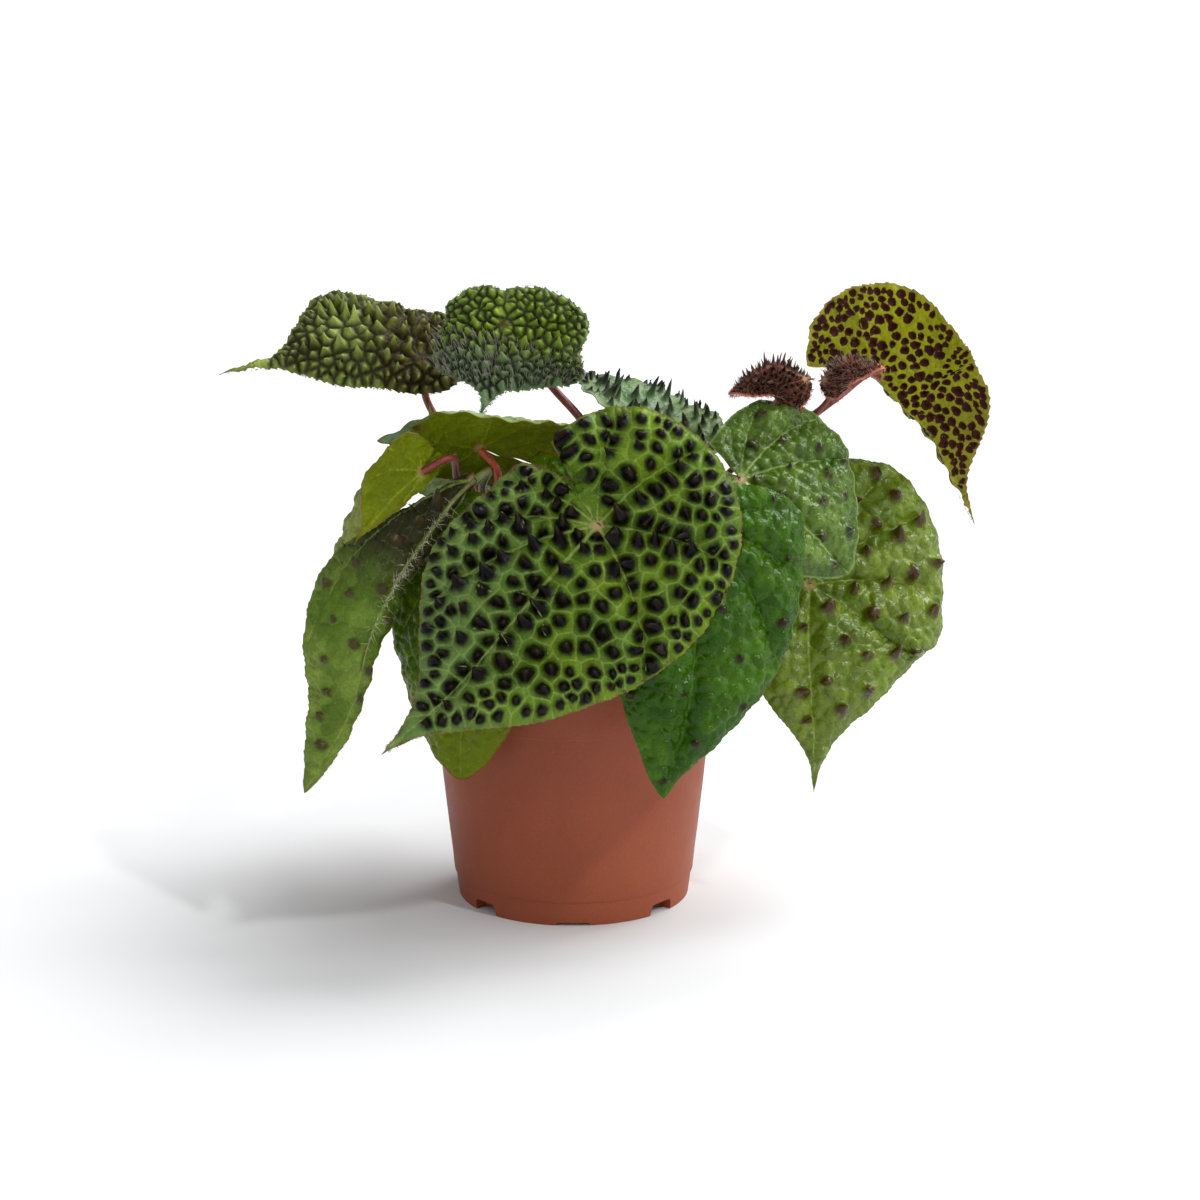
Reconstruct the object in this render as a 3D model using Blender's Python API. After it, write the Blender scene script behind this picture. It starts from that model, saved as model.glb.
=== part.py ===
"""Potted begonia with cone-studded leaves, in a 12 cm round nursery pot.

Metres, +Z up. The origin is the centre of the pot's base, on the surface the
pot stands on; the big front leaf faces -Y.
"""

import math

import bmesh
import bpy
import numpy as np
from mathutils import Vector

# ---------------------------------------------------------------- dimensions
GAP = 0.0003                 # clearance kept between touching pieces

POT_HEIGHT = 0.105
POT_WALL = 0.0013
POT_SIDES = 44
RIM_RADIUS = 0.060
COLLAR_Z = 0.0815
COLLAR_STEP = 0.0007
FLOOR_TOP = 0.0047
CENTRE_DISC = 0.028          # flat middle of the base, which stands on the floor
CHANNEL_DEPTH = 0.0025       # raised ring between the middle and the foot
CHANNEL_INNER = 0.0295
CHANNEL_OUTER = 0.0425
FOOT_INNER = 0.0432
FOOT_OUTER = 0.0465
FOOT_ARCH_AZIMUTH = 49.0     # degrees from the front and back
FOOT_ARCH_WIDTH = 0.0135
FOOT_ARCH_HEIGHT = 0.005
FOOT_SLOT_WIDTH = 0.014
FOOT_SLOT_HEIGHT = 0.0013
HOLE_RADIUS = 0.0033
HOLE_CIRCLE = 0.036
HOLE_COUNT = 8
CUT_DEPTH = 0.005            # how far the cutting blocks reach below the base
CUT_REACH = 0.060            # and how far out they reach

SOIL_TOP = 0.094
SOIL_EDGE_DROP = 0.002

RHIZOME_SIDES = 14
RHIZOME_RINGS = 15
FOOT_GAP = 0.0004            # between the creeping stem and a stalk's foot, and inside the foot ring
PETIOLE_SIDES = 8
LEAF_THICKNESS = 0.0009
NECK_END = 0.5               # share of the blade's length that its neck takes
FOLD_END = 0.3               # share over which the fold opens out to the tip
SPINE_END = 0.70             # share of the outline's points that face the midrib
SPINE_EASE = 0.9
NEAR_STALK = 0.0012          # blade points closer than this meet at the stalk
NO_LOBE = 0.002              # a blade with a shorter lobe ends straight at its stalk

# Outer radius of the pot at each height below the collar.
POT_OUTSIDE = [
    (0.0000, 0.0476), (0.0040, 0.0484), (0.0098, 0.0491), (0.0108, 0.0498),
    (0.0200, 0.0507), (0.0400, 0.0530), (0.0600, 0.0551), (0.0810, 0.0572),
]

# One side of the leaf outline: (share of length from the stalk, share of width).
SIDE_POINTED = [
    (1.00, 0.000), (0.93, 0.035), (0.85, 0.10), (0.74, 0.27),
    (0.58, 0.58), (0.40, 0.83), (0.22, 0.96), (0.04, 1.00),
]
SIDE_TAILED = [
    (1.00, 0.00), (0.88, 0.03), (0.76, 0.07), (0.66, 0.18),
    (0.57, 0.46), (0.44, 0.82), (0.25, 0.98), (0.04, 1.00),
]
SIDE_BLUNT = [
    (1.00, 0.00), (0.985, 0.12), (0.93, 0.30), (0.83, 0.50),
    (0.68, 0.72), (0.48, 0.90), (0.26, 0.99), (0.04, 1.00),
]
SIDE_HUMPED = [
    (1.00, 0.00), (0.88, 0.04), (0.77, 0.08), (0.67, 0.20),
    (0.57, 0.55), (0.47, 0.86), (0.30, 1.00), (0.04, 0.90),
]
# The lobe behind the stalk: (share of lobe length, share of width).
LOBE = [(-0.42, 0.94), (-0.80, 0.74), (-1.00, 0.46), (-0.97, 0.20)]

# Each leaf: stalk end, midrib points and tip; up is the direction its upper
# face looks; width and lobe are (left, right) seen from above with the tip
# ahead; fold and curl are degrees that each side drops at and beyond the
# midrib; wrap turns the notch to one side and close turns both lobes into it;
# neck narrows the base of a side; blunt goes from pointed (0) to round (1) or
# to a long tail (-1), and humped takes the humped side instead; arrive and seat
# set how the stalk meets the blade.
LEAVES = {
    "leaf_front_large": dict(
        midrib=[(0.010, -0.080, 0.175), (-0.016, -0.092, 0.148),
                (-0.045, -0.105, 0.116), (-0.073, -0.115, 0.093)],
        up=(0.10, -0.85, 0.50), width=(0.058, 0.054), lobe=(0.04, 0.014), neck=(0, 0.2), fold=(5, 5),
        curl=(15, 20), wrap=50, close=(29, 14), detail=2, colour=(0.115, 0.185, 0.055)),
    "leaf_front_right": dict(
        midrib=[(0.050, -0.070, 0.1735), (0.049, -0.079, 0.1375),
                (0.045, -0.085, 0.1025), (0.036, -0.089, 0.067)],
        up=(0.20, -0.85, 0.40), width=(0.048, 0.04), lobe=(0.016, 0.014), neck=(0, 0.3), fold=(5, 5),
        curl=(20, 25), blunt=(0.25, 0.8), detail=2, colour=(0.022, 0.085, 0.020)),
    "leaf_front_left": dict(
        midrib=[(-0.0275, -0.044, 0.169), (-0.037, -0.056, 0.145),
                (-0.043, -0.066, 0.108), (-0.045, -0.060, 0.066)],
        up=(-0.30, -0.90, 0.30), width=(0.034, 0.04), lobe=(0.032, 0.008), fold=(5, 5), curl=(20, 20),
        blunt=(1.0, 1.0), detail=2, colour=(0.030, 0.090, 0.016)),
    "leaf_right_upper": dict(
        midrib=[(0.0675, -0.031, 0.1825), (0.090, -0.038, 0.166), (0.111, -0.032, 0.144)],
        up=(0.15, -0.85, 0.55), width=(0.047, 0.024), lobe=(0.020, 0.018), fold=(5, 5), curl=(12, 30),
        blunt=(1, 0.9), detail=2, colour=(0.090, 0.190, 0.060)),
    "leaf_right_lower": dict(
        midrib=[(0.096, -0.020, 0.136), (0.095, -0.032, 0.112),
                (0.097, -0.038, 0.085), (0.098, -0.038, 0.054)],
        up=(0.15, -0.90, 0.40), width=(0.057, 0.028), lobe=(0.058, 0.02), neck=(-0.08, 0), fold=(5, 5),
        curl=(15, 20), wrap=-8, blunt=(-0.35, -0.2), detail=2, colour=(0.060, 0.140, 0.030)),
    "leaf_right_top": dict(
        midrib=[(0.125, 0.018, 0.215), (0.135, 0.020, 0.202), (0.150, 0.022, 0.185), (0.167, 0.024, 0.151)],
        up=(0.15, 0.98, 0.10), width=(0.012, 0.038), lobe=(0.008, 0.033), fold=(-70, 0), curl=(0, 10),
        wrap=-48, blunt=(0, -0.6), seat=0.0006, detail=2, colour=(0.200, 0.230, 0.020)),
    "leaf_left_hanging": dict(
        midrib=[(-0.039, -0.042, 0.185), (-0.049, -0.0485, 0.1755), (-0.0675, -0.061, 0.151),
                (-0.080, -0.070, 0.126), (-0.0876, -0.075, 0.098), (-0.106, -0.078, 0.066)],
        up=(-0.20, -0.90, 0.30), width=(0.009, 0.036), lobe=(0.001, 0.001), neck=(0.5, 0.85), fold=(65, 0),
        curl=(0, 15), blunt=(1, 0.7), arrive=(0.5, 0.86), seat=0.0022, detail=1,
        colour=(0.080, 0.150, 0.045)),
    "leaf_left_top": dict(
        midrib=[(-0.063, 0.026, 0.221), (-0.081, 0.023, 0.224),
                (-0.104, 0.020, 0.222), (-0.145, 0.014, 0.217)],
        up=(-0.10, -0.70, 0.70), width=(0.0155, 0.043), lobe=(0.018, 0.018), neck=(0, 0.25), fold=(8, 5),
        curl=(35, 20), wrap=8, close=(6, 8), blunt=(-0.8, 1), humped=(False, True), detail=2,
        colour=(0.105, 0.185, 0.060)),
    "leaf_top_middle": dict(
        midrib=[(-0.028, 0.006, 0.238), (-0.031, 0.000, 0.228),
                (-0.033, -0.008, 0.216), (-0.037, -0.016, 0.205)],
        up=(0.00, -0.65, 0.75), width=(0.0375, 0.03), lobe=(0.016, 0.016), fold=(5, 5), curl=(26, 30),
        wrap=14, close=(15, 15), blunt=(1, 0.6), humped=(True, True), detail=2,
        colour=(0.110, 0.190, 0.060)),
    "leaf_back_middle": dict(
        midrib=[(0.028, 0.030, 0.197), (0.016, 0.042, 0.203), (0.002, 0.056, 0.210)],
        up=(0.10, -0.50, 0.85), width=(0.032, 0.03), lobe=(0.036, 0.042), fold=(-40, 5), curl=(5, 25),
        wrap=-30, detail=1, colour=(0.085, 0.160, 0.085)),
    "leaf_left_umbrella": dict(
        midrib=[(-0.037, -0.030, 0.195), (-0.055, -0.038, 0.199), (-0.077, -0.048, 0.202)],
        up=(0.00, 0.75, 0.66), width=(0.036, 0.016), lobe=(0.042, 0.034), fold=(-15, 5), curl=(60, 10),
        wrap=12, close=(0, 2), blunt=(0.3, 0.3), detail=1, colour=(0.150, 0.180, 0.020)),
    "leaf_left_olive": dict(
        midrib=[(-0.059, -0.054, 0.191), (-0.070, -0.062, 0.182), (-0.085, -0.070, 0.165)],
        up=(-0.10, 0.95, 0.20), width=(0.02, 0.006), lobe=(0.01, 0.01), fold=(5, 15), curl=(10, 50),
        wrap=-15, arrive=(0.55, 0.83), seat=0.0012, detail=1, colour=(0.200, 0.190, 0.020)),
    "leaf_left_small": dict(
        midrib=[(-0.051, -0.002, 0.178), (-0.056, -0.005, 0.191), (-0.058, -0.003, 0.208)],
        up=(0.00, -0.98, 0.10), width=(0.016, 0.018), lobe=(0.01, 0.01), fold=(5, 5), curl=(20, 20),
        blunt=(-0.8, -0.8), detail=0, colour=(0.160, 0.170, 0.025)),
    "leaf_left_thin": dict(
        midrib=[(-0.086, 0.010, 0.166), (-0.095, 0.012, 0.145), (-0.103, 0.012, 0.126)],
        up=(-0.80, -0.45, 0.50), width=(0.01, 0.014), lobe=(0.006, 0.006), fold=(5, 5), curl=(20, 20),
        detail=0, colour=(0.120, 0.180, 0.060)),
    "leaf_young_large": dict(
        midrib=[(0.0945, -0.004, 0.2185), (0.080, -0.006, 0.223), (0.063, -0.008, 0.212)],
        up=(0.00, -0.50, 0.85), width=(0.015, 0.012), lobe=(0.003, 0.003), fold=(30, 25), curl=(50, 60),
        blunt=(0.6, 0.6), arrive=(0.9, 0.44), seat=0.001, detail=0, colour=(0.150, 0.045, 0.035)),
    "leaf_young_small": dict(
        midrib=[(0.1015, -0.002, 0.218), (0.110, -0.006, 0.225), (0.126, -0.010, 0.223)],
        up=(0.00, -0.50, 0.85), width=(0.01, 0.011), lobe=(0.003, 0.003), fold=(25, 30), curl=(40, 40),
        blunt=(0.5, 0.5), arrive=(0.9, 0.44), seat=0.001, detail=0, colour=(0.130, 0.045, 0.035)),
    "leaf_back_left": dict(
        midrib=[(-0.036, 0.054, 0.158), (-0.046, 0.080, 0.148), (-0.060, 0.112, 0.105)],
        up=(-0.10, 0.20, 1.00), width=(0.034, 0.032), lobe=(0.02, 0.02), fold=(8, 8), curl=(35, 35),
        detail=0, colour=(0.070, 0.150, 0.040)),
    "leaf_back_right": dict(
        midrib=[(0.026, 0.058, 0.163), (0.036, 0.086, 0.150), (0.044, 0.118, 0.100)],
        up=(0.10, 0.20, 1.00), width=(0.032, 0.04), lobe=(0.02, 0.022), fold=(8, 8), curl=(35, 35),
        detail=0, colour=(0.080, 0.160, 0.045)),
    "leaf_back_far_right": dict(
        midrib=[(0.080, 0.032, 0.138), (0.101, 0.046, 0.130), (0.122, 0.062, 0.094)],
        up=(0.30, 0.20, 1.00), width=(0.028, 0.032), lobe=(0.016, 0.018), fold=(8, 8), curl=(35, 35),
        detail=0, colour=(0.070, 0.150, 0.040)),
    "leaf_back_far_left": dict(
        midrib=[(-0.066, 0.034, 0.130), (-0.084, 0.046, 0.124), (-0.098, 0.062, 0.090)],
        up=(-0.30, 0.20, 1.00), width=(0.026, 0.026), lobe=(0.014, 0.014), fold=(8, 8), curl=(35, 35),
        detail=0, colour=(0.080, 0.160, 0.045)),
}

# Creeping stem on the soil: (x, y, radius) along its length.
RHIZOME = [
    (-0.034, 0.006, 0.0055), (-0.026, 0.003, 0.0075), (-0.014, 0.000, 0.0080), (-0.002, -0.002, 0.0078),
    (0.010, -0.001, 0.0082), (0.022, 0.003, 0.0076), (0.032, 0.007, 0.0060), (0.037, 0.009, 0.0035),
]

# Stalks: where each leaves the creeping stem (x, and degrees from upright,
# positive to the front), a few points on the way, and its thickness.
PETIOLES = {
    "leaf_front_large": dict(
        foot=(-0.002, 48), via=[(0.008, -0.034, 0.142), (0.0125, -0.060, 0.164)]),
    "leaf_front_right": dict(
        foot=(0.009, 48), via=[(0.024, -0.030, 0.134), (0.044, -0.050, 0.162)]),
    "leaf_front_left": dict(
        foot=(-0.011, 50), via=[(-0.014, -0.022, 0.130), (-0.020, -0.027, 0.154)]),
    "leaf_right_upper": dict(
        foot=(0.017, 42), via=[(0.040, -0.012, 0.150), (0.060, -0.016, 0.175)]),
    "leaf_right_lower": dict(
        foot=(0.026, 35), via=[(0.052, -0.008, 0.130), (0.080, -0.008, 0.140)]),
    "leaf_right_top": dict(
        foot=(0.0292, -12), via=[(0.058, 0.018, 0.150), (0.084, 0.011, 0.188), (0.108, 0.009, 0.208)]),
    "leaf_left_hanging": dict(
        foot=(-0.0235, 20), via=[(-0.031, -0.008, 0.150), (-0.0365, -0.018, 0.176)]),
    "leaf_left_top": dict(
        foot=(-0.014, -12), via=[(-0.028, 0.014, 0.144), (-0.045, 0.030, 0.177), (-0.062, 0.040, 0.204)]),
    "leaf_top_middle": dict(
        foot=(0.004, -8), via=[(0.012, 0.010, 0.160), (0.007, 0.012, 0.192), (-0.011, 0.016, 0.214)]),
    "leaf_back_middle": dict(
        foot=(0.011, -10), via=[(0.018, 0.014, 0.150), (0.028, 0.022, 0.182)]),
    "leaf_left_umbrella": dict(
        foot=(-0.018, 46), via=[(-0.025, -0.012, 0.150), (-0.030, -0.020, 0.174)]),
    "leaf_left_olive": dict(
        foot=(-0.0285, 22), via=[(-0.040, -0.012, 0.150), (-0.046, -0.025, 0.181)]),
    "leaf_left_small": dict(
        foot=(-0.0184, 2), via=[(-0.034, 0.006, 0.135), (-0.045, 0.006, 0.162)], thick=0.0012),
    "leaf_young_large": dict(
        foot=(0.016, -5), via=[(0.040, 0.004, 0.150), (0.082, 0.003, 0.197)], thick=0.0012),
    "leaf_young_small": dict(
        foot=(0.024, -4), via=[(0.058, 0.012, 0.160), (0.094, 0.002, 0.198)], thick=0.0012),
    "leaf_back_left": dict(
        foot=(-0.008, -55), via=[(-0.016, 0.026, 0.126), (-0.030, 0.044, 0.148)]),
    "leaf_back_right": dict(
        foot=(0.008, -55), via=[(0.018, 0.028, 0.126), (0.024, 0.048, 0.153)]),
    "leaf_back_far_right": dict(
        foot=(0.024, -50), via=[(0.044, 0.022, 0.120), (0.070, 0.026, 0.132)]),
    "leaf_back_far_left": dict(
        foot=(-0.024, -50), via=[(-0.038, 0.020, 0.114), (-0.056, 0.028, 0.124)]),
}
PETIOLE_THICK = 0.0016

SIDE_SHOOT = [
    (-0.0500, 0.0110, 0.1080), (-0.0650, 0.0080, 0.1190),
    (-0.0760, 0.0040, 0.1320), (-0.0815, 0.0060, 0.1500),
]
# Papery scales: base, length, width, lean (about x, about y), turn.
STIPULES = {
    "stipule_lower": ((-0.0785, 0.0018, 0.1260), 0.014, 0.012, (4, -10), 0),
    "stipule_upper": ((-0.0800, 0.0040, 0.1480), 0.008, 0.007, (4, -14), 0),
}


# ------------------------------------------------------------------- helpers
def clear_scene():
    for obj in list(bpy.data.objects):
        bpy.data.objects.remove(obj, do_unlink=True)


def material(name, colour, roughness):
    mat = bpy.data.materials.new(name)
    mat.use_nodes = True
    shader = mat.node_tree.nodes["Principled BSDF"]
    shader.inputs["Base Color"].default_value = (*colour, 1.0)
    shader.inputs["Roughness"].default_value = roughness
    shader.inputs["Metallic"].default_value = 0.0
    mat.diffuse_color = (*colour, 1.0)
    return mat


def add_object(name, bm, mat, smooth_angle=35):
    bmesh.ops.recalc_face_normals(bm, faces=bm.faces)
    mesh = bpy.data.meshes.new(name)
    bm.to_mesh(mesh)
    bm.free()
    mesh.materials.append(mat)
    mesh.shade_smooth()
    mesh.set_sharp_from_angle(angle=math.radians(smooth_angle))
    obj = bpy.data.objects.new(name, mesh)
    bpy.context.scene.collection.objects.link(obj)
    return obj


def spline(points, count):
    """Smooth curve through the points, read at count even steps."""
    pts = np.asarray(points, float)
    last = len(pts) - 1
    ext = np.vstack([2 * pts[0] - pts[1], pts, 2 * pts[-1] - pts[-2]])
    t = np.linspace(0, last, count)
    i = np.minimum(t.astype(int), last - 1)
    u = (t - i)[:, None]
    a, b, c, d = ext[i], ext[i + 1], ext[i + 2], ext[i + 3]
    bend = (2 * a - 5 * b + 4 * c - d) * u ** 2
    twist = (3 * b - a - 3 * c + d) * u ** 3
    return 0.5 * (2 * b + (c - a) * u + bend + twist)


def route_curve(points, count):
    """Smooth curve through unevenly spaced points, without overshoot."""
    pts = np.asarray(points, float)
    chord = np.linalg.norm(np.diff(pts, axis=0), axis=1)
    knots = np.concatenate([[0.0], np.cumsum(chord)])
    slopes = np.diff(pts, axis=0) / chord[:, None]
    tangents = [slopes[0]]
    for k in range(1, len(pts) - 1):
        w = chord[k - 1] + chord[k]
        tangents.append((slopes[k - 1] * chord[k] + slopes[k] * chord[k - 1]) / w)
    tangents.append(slopes[-1])
    out = []
    for t in np.linspace(0, knots[-1], count):
        k = min(int(np.searchsorted(knots, t, side="right")) - 1, len(pts) - 2)
        h = chord[k]
        u = (t - knots[k]) / h
        out.append((2 * u ** 3 - 3 * u ** 2 + 1) * pts[k] + (u ** 3 - 2 * u ** 2 + u) * h * tangents[k]
                   + (3 * u ** 2 - 2 * u ** 3) * pts[k + 1] + (u ** 3 - u ** 2) * h * tangents[k + 1])
    return np.array(out)


def smoothstep(t):
    t = np.clip(t, 0, 1)
    return t * t * (3 - 2 * t)


def unit(vectors):
    return vectors / np.linalg.norm(vectors, axis=-1, keepdims=True)


def lathe(bm, profile, sides):
    """Closed solid turned from (radius, z) pairs that start and end on the axis."""
    rings = []
    for radius, z in profile:
        if radius < 1e-7:
            rings.append([bm.verts.new((0, 0, z))])
            continue
        ring = []
        for k in range(sides):
            a = 2 * math.pi * k / sides
            ring.append(bm.verts.new((radius * math.cos(a), radius * math.sin(a), z)))
        rings.append(ring)
    for low, high in zip(rings, rings[1:]):
        for k in range(sides):
            n = (k + 1) % sides
            corners = [low[k % len(low)], low[n % len(low)], high[n % len(high)], high[k % len(high)]]
            unique = []
            for vert in corners:
                if vert not in unique:
                    unique.append(vert)
            bm.faces.new(unique)


def tube(bm, path, radii, sides):
    """Closed round bar along a path, its rings carried along without twist."""
    path = np.asarray(path, float)
    tangent = unit(np.gradient(path, axis=0))
    side = np.cross(tangent[0], (0.0, 0.0, 1.0))
    if np.linalg.norm(side) < 0.2:
        side = np.cross(tangent[0], (1.0, 0.0, 0.0))
    rings = []
    for centre, along, radius in zip(path, tangent, radii):
        side = side - along * np.dot(side, along)
        side = side / np.linalg.norm(side)
        other = np.cross(along, side)
        ring = []
        for k in range(sides):
            a = 2 * math.pi * k / sides
            ring.append(bm.verts.new(centre + radius * (math.cos(a) * side + math.sin(a) * other)))
        rings.append(ring)
    for low, high in zip(rings, rings[1:]):
        for k in range(sides):
            n = (k + 1) % sides
            bm.faces.new((low[k], low[n], high[n], high[k]))
    bm.faces.new(rings[0])
    bm.faces.new(rings[-1])


# ---------------------------------------------------------------------- pot
def make_pot():
    collar_base = POT_OUTSIDE[-1][1]
    outside = [(r, z) for z, r in POT_OUTSIDE]
    profile = [(0.0, 0.0), (CENTRE_DISC, 0.0), (CHANNEL_INNER, CHANNEL_DEPTH),
               (CHANNEL_OUTER, CHANNEL_DEPTH), (FOOT_INNER, 0.0)]
    profile += outside
    profile += [
        (collar_base + COLLAR_STEP, COLLAR_Z),
        (RIM_RADIUS - 0.0006, POT_HEIGHT - 0.003),
        (RIM_RADIUS, POT_HEIGHT - 0.0015),
        (RIM_RADIUS - 0.0003, POT_HEIGHT),
        (RIM_RADIUS - 0.0016, POT_HEIGHT),
        (RIM_RADIUS - 0.0020, POT_HEIGHT - 0.002),
        (collar_base + COLLAR_STEP - POT_WALL, COLLAR_Z + 0.001),
    ]
    profile += [(r - POT_WALL, z) for r, z in reversed(outside[3:])]
    profile += [(FOOT_OUTER - 0.0010, FLOOR_TOP), (0.0, FLOOR_TOP)]
    bm = bmesh.new()
    lathe(bm, profile, POT_SIDES)
    pot = add_object("pot", bm, material("terracotta_plastic", (0.262, 0.082, 0.042), 0.55))
    boolean = pot.modifiers.new("feet_and_holes", "BOOLEAN")
    boolean.operation = "DIFFERENCE"
    boolean.solver = "EXACT"
    boolean.object = make_foot_cutter()


def make_foot_cutter():
    """Blocks for the arches and slots of the foot, and pins for the holes."""
    bm = bmesh.new()
    for base in (-90, 90):
        for side in (-1, 1):
            add_passage(bm, base + side * FOOT_ARCH_AZIMUTH, FOOT_ARCH_WIDTH, FOOT_ARCH_HEIGHT)
        add_passage(bm, base, FOOT_SLOT_WIDTH, FOOT_SLOT_HEIGHT)
    for k in range(HOLE_COUNT):
        angle = 2 * math.pi * (k + 0.5) / HOLE_COUNT
        pin = bmesh.ops.create_cone(bm, cap_ends=True, segments=12, radius1=HOLE_RADIUS,
                                    radius2=HOLE_RADIUS, depth=FLOOR_TOP + 2 * CUT_DEPTH)
        centre = (HOLE_CIRCLE * math.cos(angle), HOLE_CIRCLE * math.sin(angle), FLOOR_TOP / 2)
        bmesh.ops.translate(bm, verts=pin["verts"], vec=centre)
    cutter = add_object("foot_cutter", bm, material("cutter", (0.5, 0.5, 0.5), 0.5))
    cutter.hide_render = True
    cutter.display_type = "WIRE"
    return cutter


def add_passage(bm, azimuth, width, height):
    """Round-shouldered block that cuts one passage under the foot ring."""
    half = width / 2
    outline = [(-half, -CUT_DEPTH), (-half + 0.15 * height, 0.7 * height), (-half + 0.5 * height, height)]
    outline += [(-u, z) for u, z in reversed(outline)]
    turn = math.radians(azimuth)
    radial = Vector((math.cos(turn), math.sin(turn), 0))
    across = Vector((-math.sin(turn), math.cos(turn), 0))
    ends = []
    for distance in (FOOT_INNER - FOOT_GAP, CUT_REACH):
        ends.append([bm.verts.new(radial * distance + across * u + Vector((0, 0, z))) for u, z in outline])
    for k in range(len(outline)):
        n = (k + 1) % len(outline)
        bm.faces.new((ends[0][k], ends[0][n], ends[1][n], ends[1][k]))
    bm.faces.new(ends[0])
    bm.faces.new(ends[1])


def pot_inside_radius(z):
    heights = [p[0] for p in POT_OUTSIDE]
    radii = [p[1] for p in POT_OUTSIDE]
    return float(np.interp(z, heights, radii)) - POT_WALL


def make_soil():
    bm = bmesh.new()
    bottom = FLOOR_TOP + GAP
    collar = POT_OUTSIDE[-1][1] + COLLAR_STEP - POT_WALL
    edge = SOIL_TOP - SOIL_EDGE_DROP
    share = (edge - COLLAR_Z - 0.001) / (POT_HEIGHT - 0.002 - COLLAR_Z - 0.001)
    edge_radius = collar + share * (RIM_RADIUS - 0.0020 - collar) - GAP * 1.4
    profile = [(0.0, bottom), (FOOT_OUTER - 0.0022, bottom)]
    for z in (0.0108, 0.020, 0.040, 0.060, 0.0805):
        profile.append((pot_inside_radius(z) - GAP * 1.4, z))
    profile += [(collar - GAP * 1.4, COLLAR_Z + 0.0015), (edge_radius, edge),
                (edge_radius - 0.004, SOIL_TOP - 0.0006), (edge_radius - 0.010, SOIL_TOP), (0.0, SOIL_TOP)]
    lathe(bm, profile, 40)
    return add_object("soil", bm, material("potting_soil", (0.030, 0.018, 0.011), 0.95))


# ---------------------------------------------------------- stem and stalks
def rhizome_path(count):
    rows = spline(RHIZOME, count)
    centre = np.column_stack([rows[:, 0], rows[:, 1], SOIL_TOP + GAP * 1.5 + rows[:, 2]])
    return centre, rows[:, 2]


def make_rhizome():
    centre, radius = rhizome_path(RHIZOME_RINGS)
    bm = bmesh.new()
    tube(bm, centre, radius, RHIZOME_SIDES)
    return add_object("rhizome", bm, material("rhizome_bark", (0.120, 0.060, 0.030), 0.7), 60)


def petiole_foot(x, lean):
    """Point just off the creeping stem, and the direction a stalk leaves it."""
    centre, radius = rhizome_path(RHIZOME_RINGS)
    taper = np.abs(np.gradient(radius, centre[:, 0]))
    heading = unit(np.gradient(centre, axis=0))
    rows = np.column_stack([centre, heading, radius, taper])
    row = np.array([np.interp(x, centre[:, 0], column) for column in rows.T])
    along = unit(row[3:6])
    a = math.radians(lean)
    out = np.array([0.0, -math.sin(a), math.cos(a)])
    out = unit(out - along * (out @ along))
    return row[:3] + out * (row[6] + FOOT_GAP + PETIOLE_THICK * 1.3 * row[7]), out


def make_petiole(leaf_name, shape):
    start, out = petiole_foot(*shape["foot"])
    leaf = Leaf(leaf_name, LEAVES[leaf_name])
    end, arrive = leaf.stalk_seat()
    thick = shape.get("thick", PETIOLE_THICK)
    route = [start, start + out * 0.006] + [np.array(p) for p in shape["via"]] + [end - arrive * 0.007, end]
    count = 6 + 3 * len(shape["via"])
    path = route_curve(route, count)
    share = np.linspace(0, 1, count)
    radii = thick * (1.35 - 0.45 * share)
    radii[0] *= 0.9
    radii[-1] = thick * 0.6
    bm = bmesh.new()
    tube(bm, path, radii, PETIOLE_SIDES)
    name = leaf_name.replace("leaf", "petiole", 1)
    return add_object(name, bm, material(name + "_skin", (0.200, 0.045, 0.030), 0.55), 60)


def make_side_shoot():
    bm = bmesh.new()
    end, arrive = Leaf("leaf_left_thin", LEAVES["leaf_left_thin"]).stalk_seat()
    centre, radius = rhizome_path(RHIZOME_RINGS)
    out = unit(centre[0] - centre[1])
    start = [centre[0] + out * FOOT_GAP, centre[0] + out * 0.006]
    path = route_curve(start + [np.array(p) for p in SIDE_SHOOT] + [end - arrive * 0.005, end], 16)
    radii = np.interp(np.linspace(0, 1, 16), [0, 0.5, 0.9, 1], [0.0028, 0.0024, 0.0014, 0.0008])
    tube(bm, path, radii, PETIOLE_SIDES)
    return add_object("side_shoot", bm, material("side_shoot_bark", (0.150, 0.070, 0.035), 0.6), 60)


def make_stipule(name, base, length, width, lean, turn):
    """Papery pointed scale that clasps the side shoot."""
    rows = 5
    bm = bmesh.new()
    grid = []
    for i in range(rows):
        t = i / (rows - 1)
        half = width / 2 * (1 - 0.75 * t ** 2)
        row = []
        for s in (-1.0, -0.5, 0.0, 0.5, 1.0):
            row.append(bm.verts.new((half * s, -0.25 * width * (1 - s * s), length * t)))
        grid.append(row)
    for i in range(rows - 1):
        for j in range(4):
            bm.faces.new((grid[i][j], grid[i][j + 1], grid[i + 1][j + 1], grid[i + 1][j]))
    obj = add_object(name, bm, material(name + "_paper", (0.480, 0.190, 0.075), 0.6), 60)
    obj.location = base
    obj.rotation_euler = (math.radians(lean[0]), math.radians(lean[1]), math.radians(turn))
    solid = obj.modifiers.new("thickness", "SOLIDIFY")
    solid.thickness = 0.0008
    solid.offset = 0.0
    return obj


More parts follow.
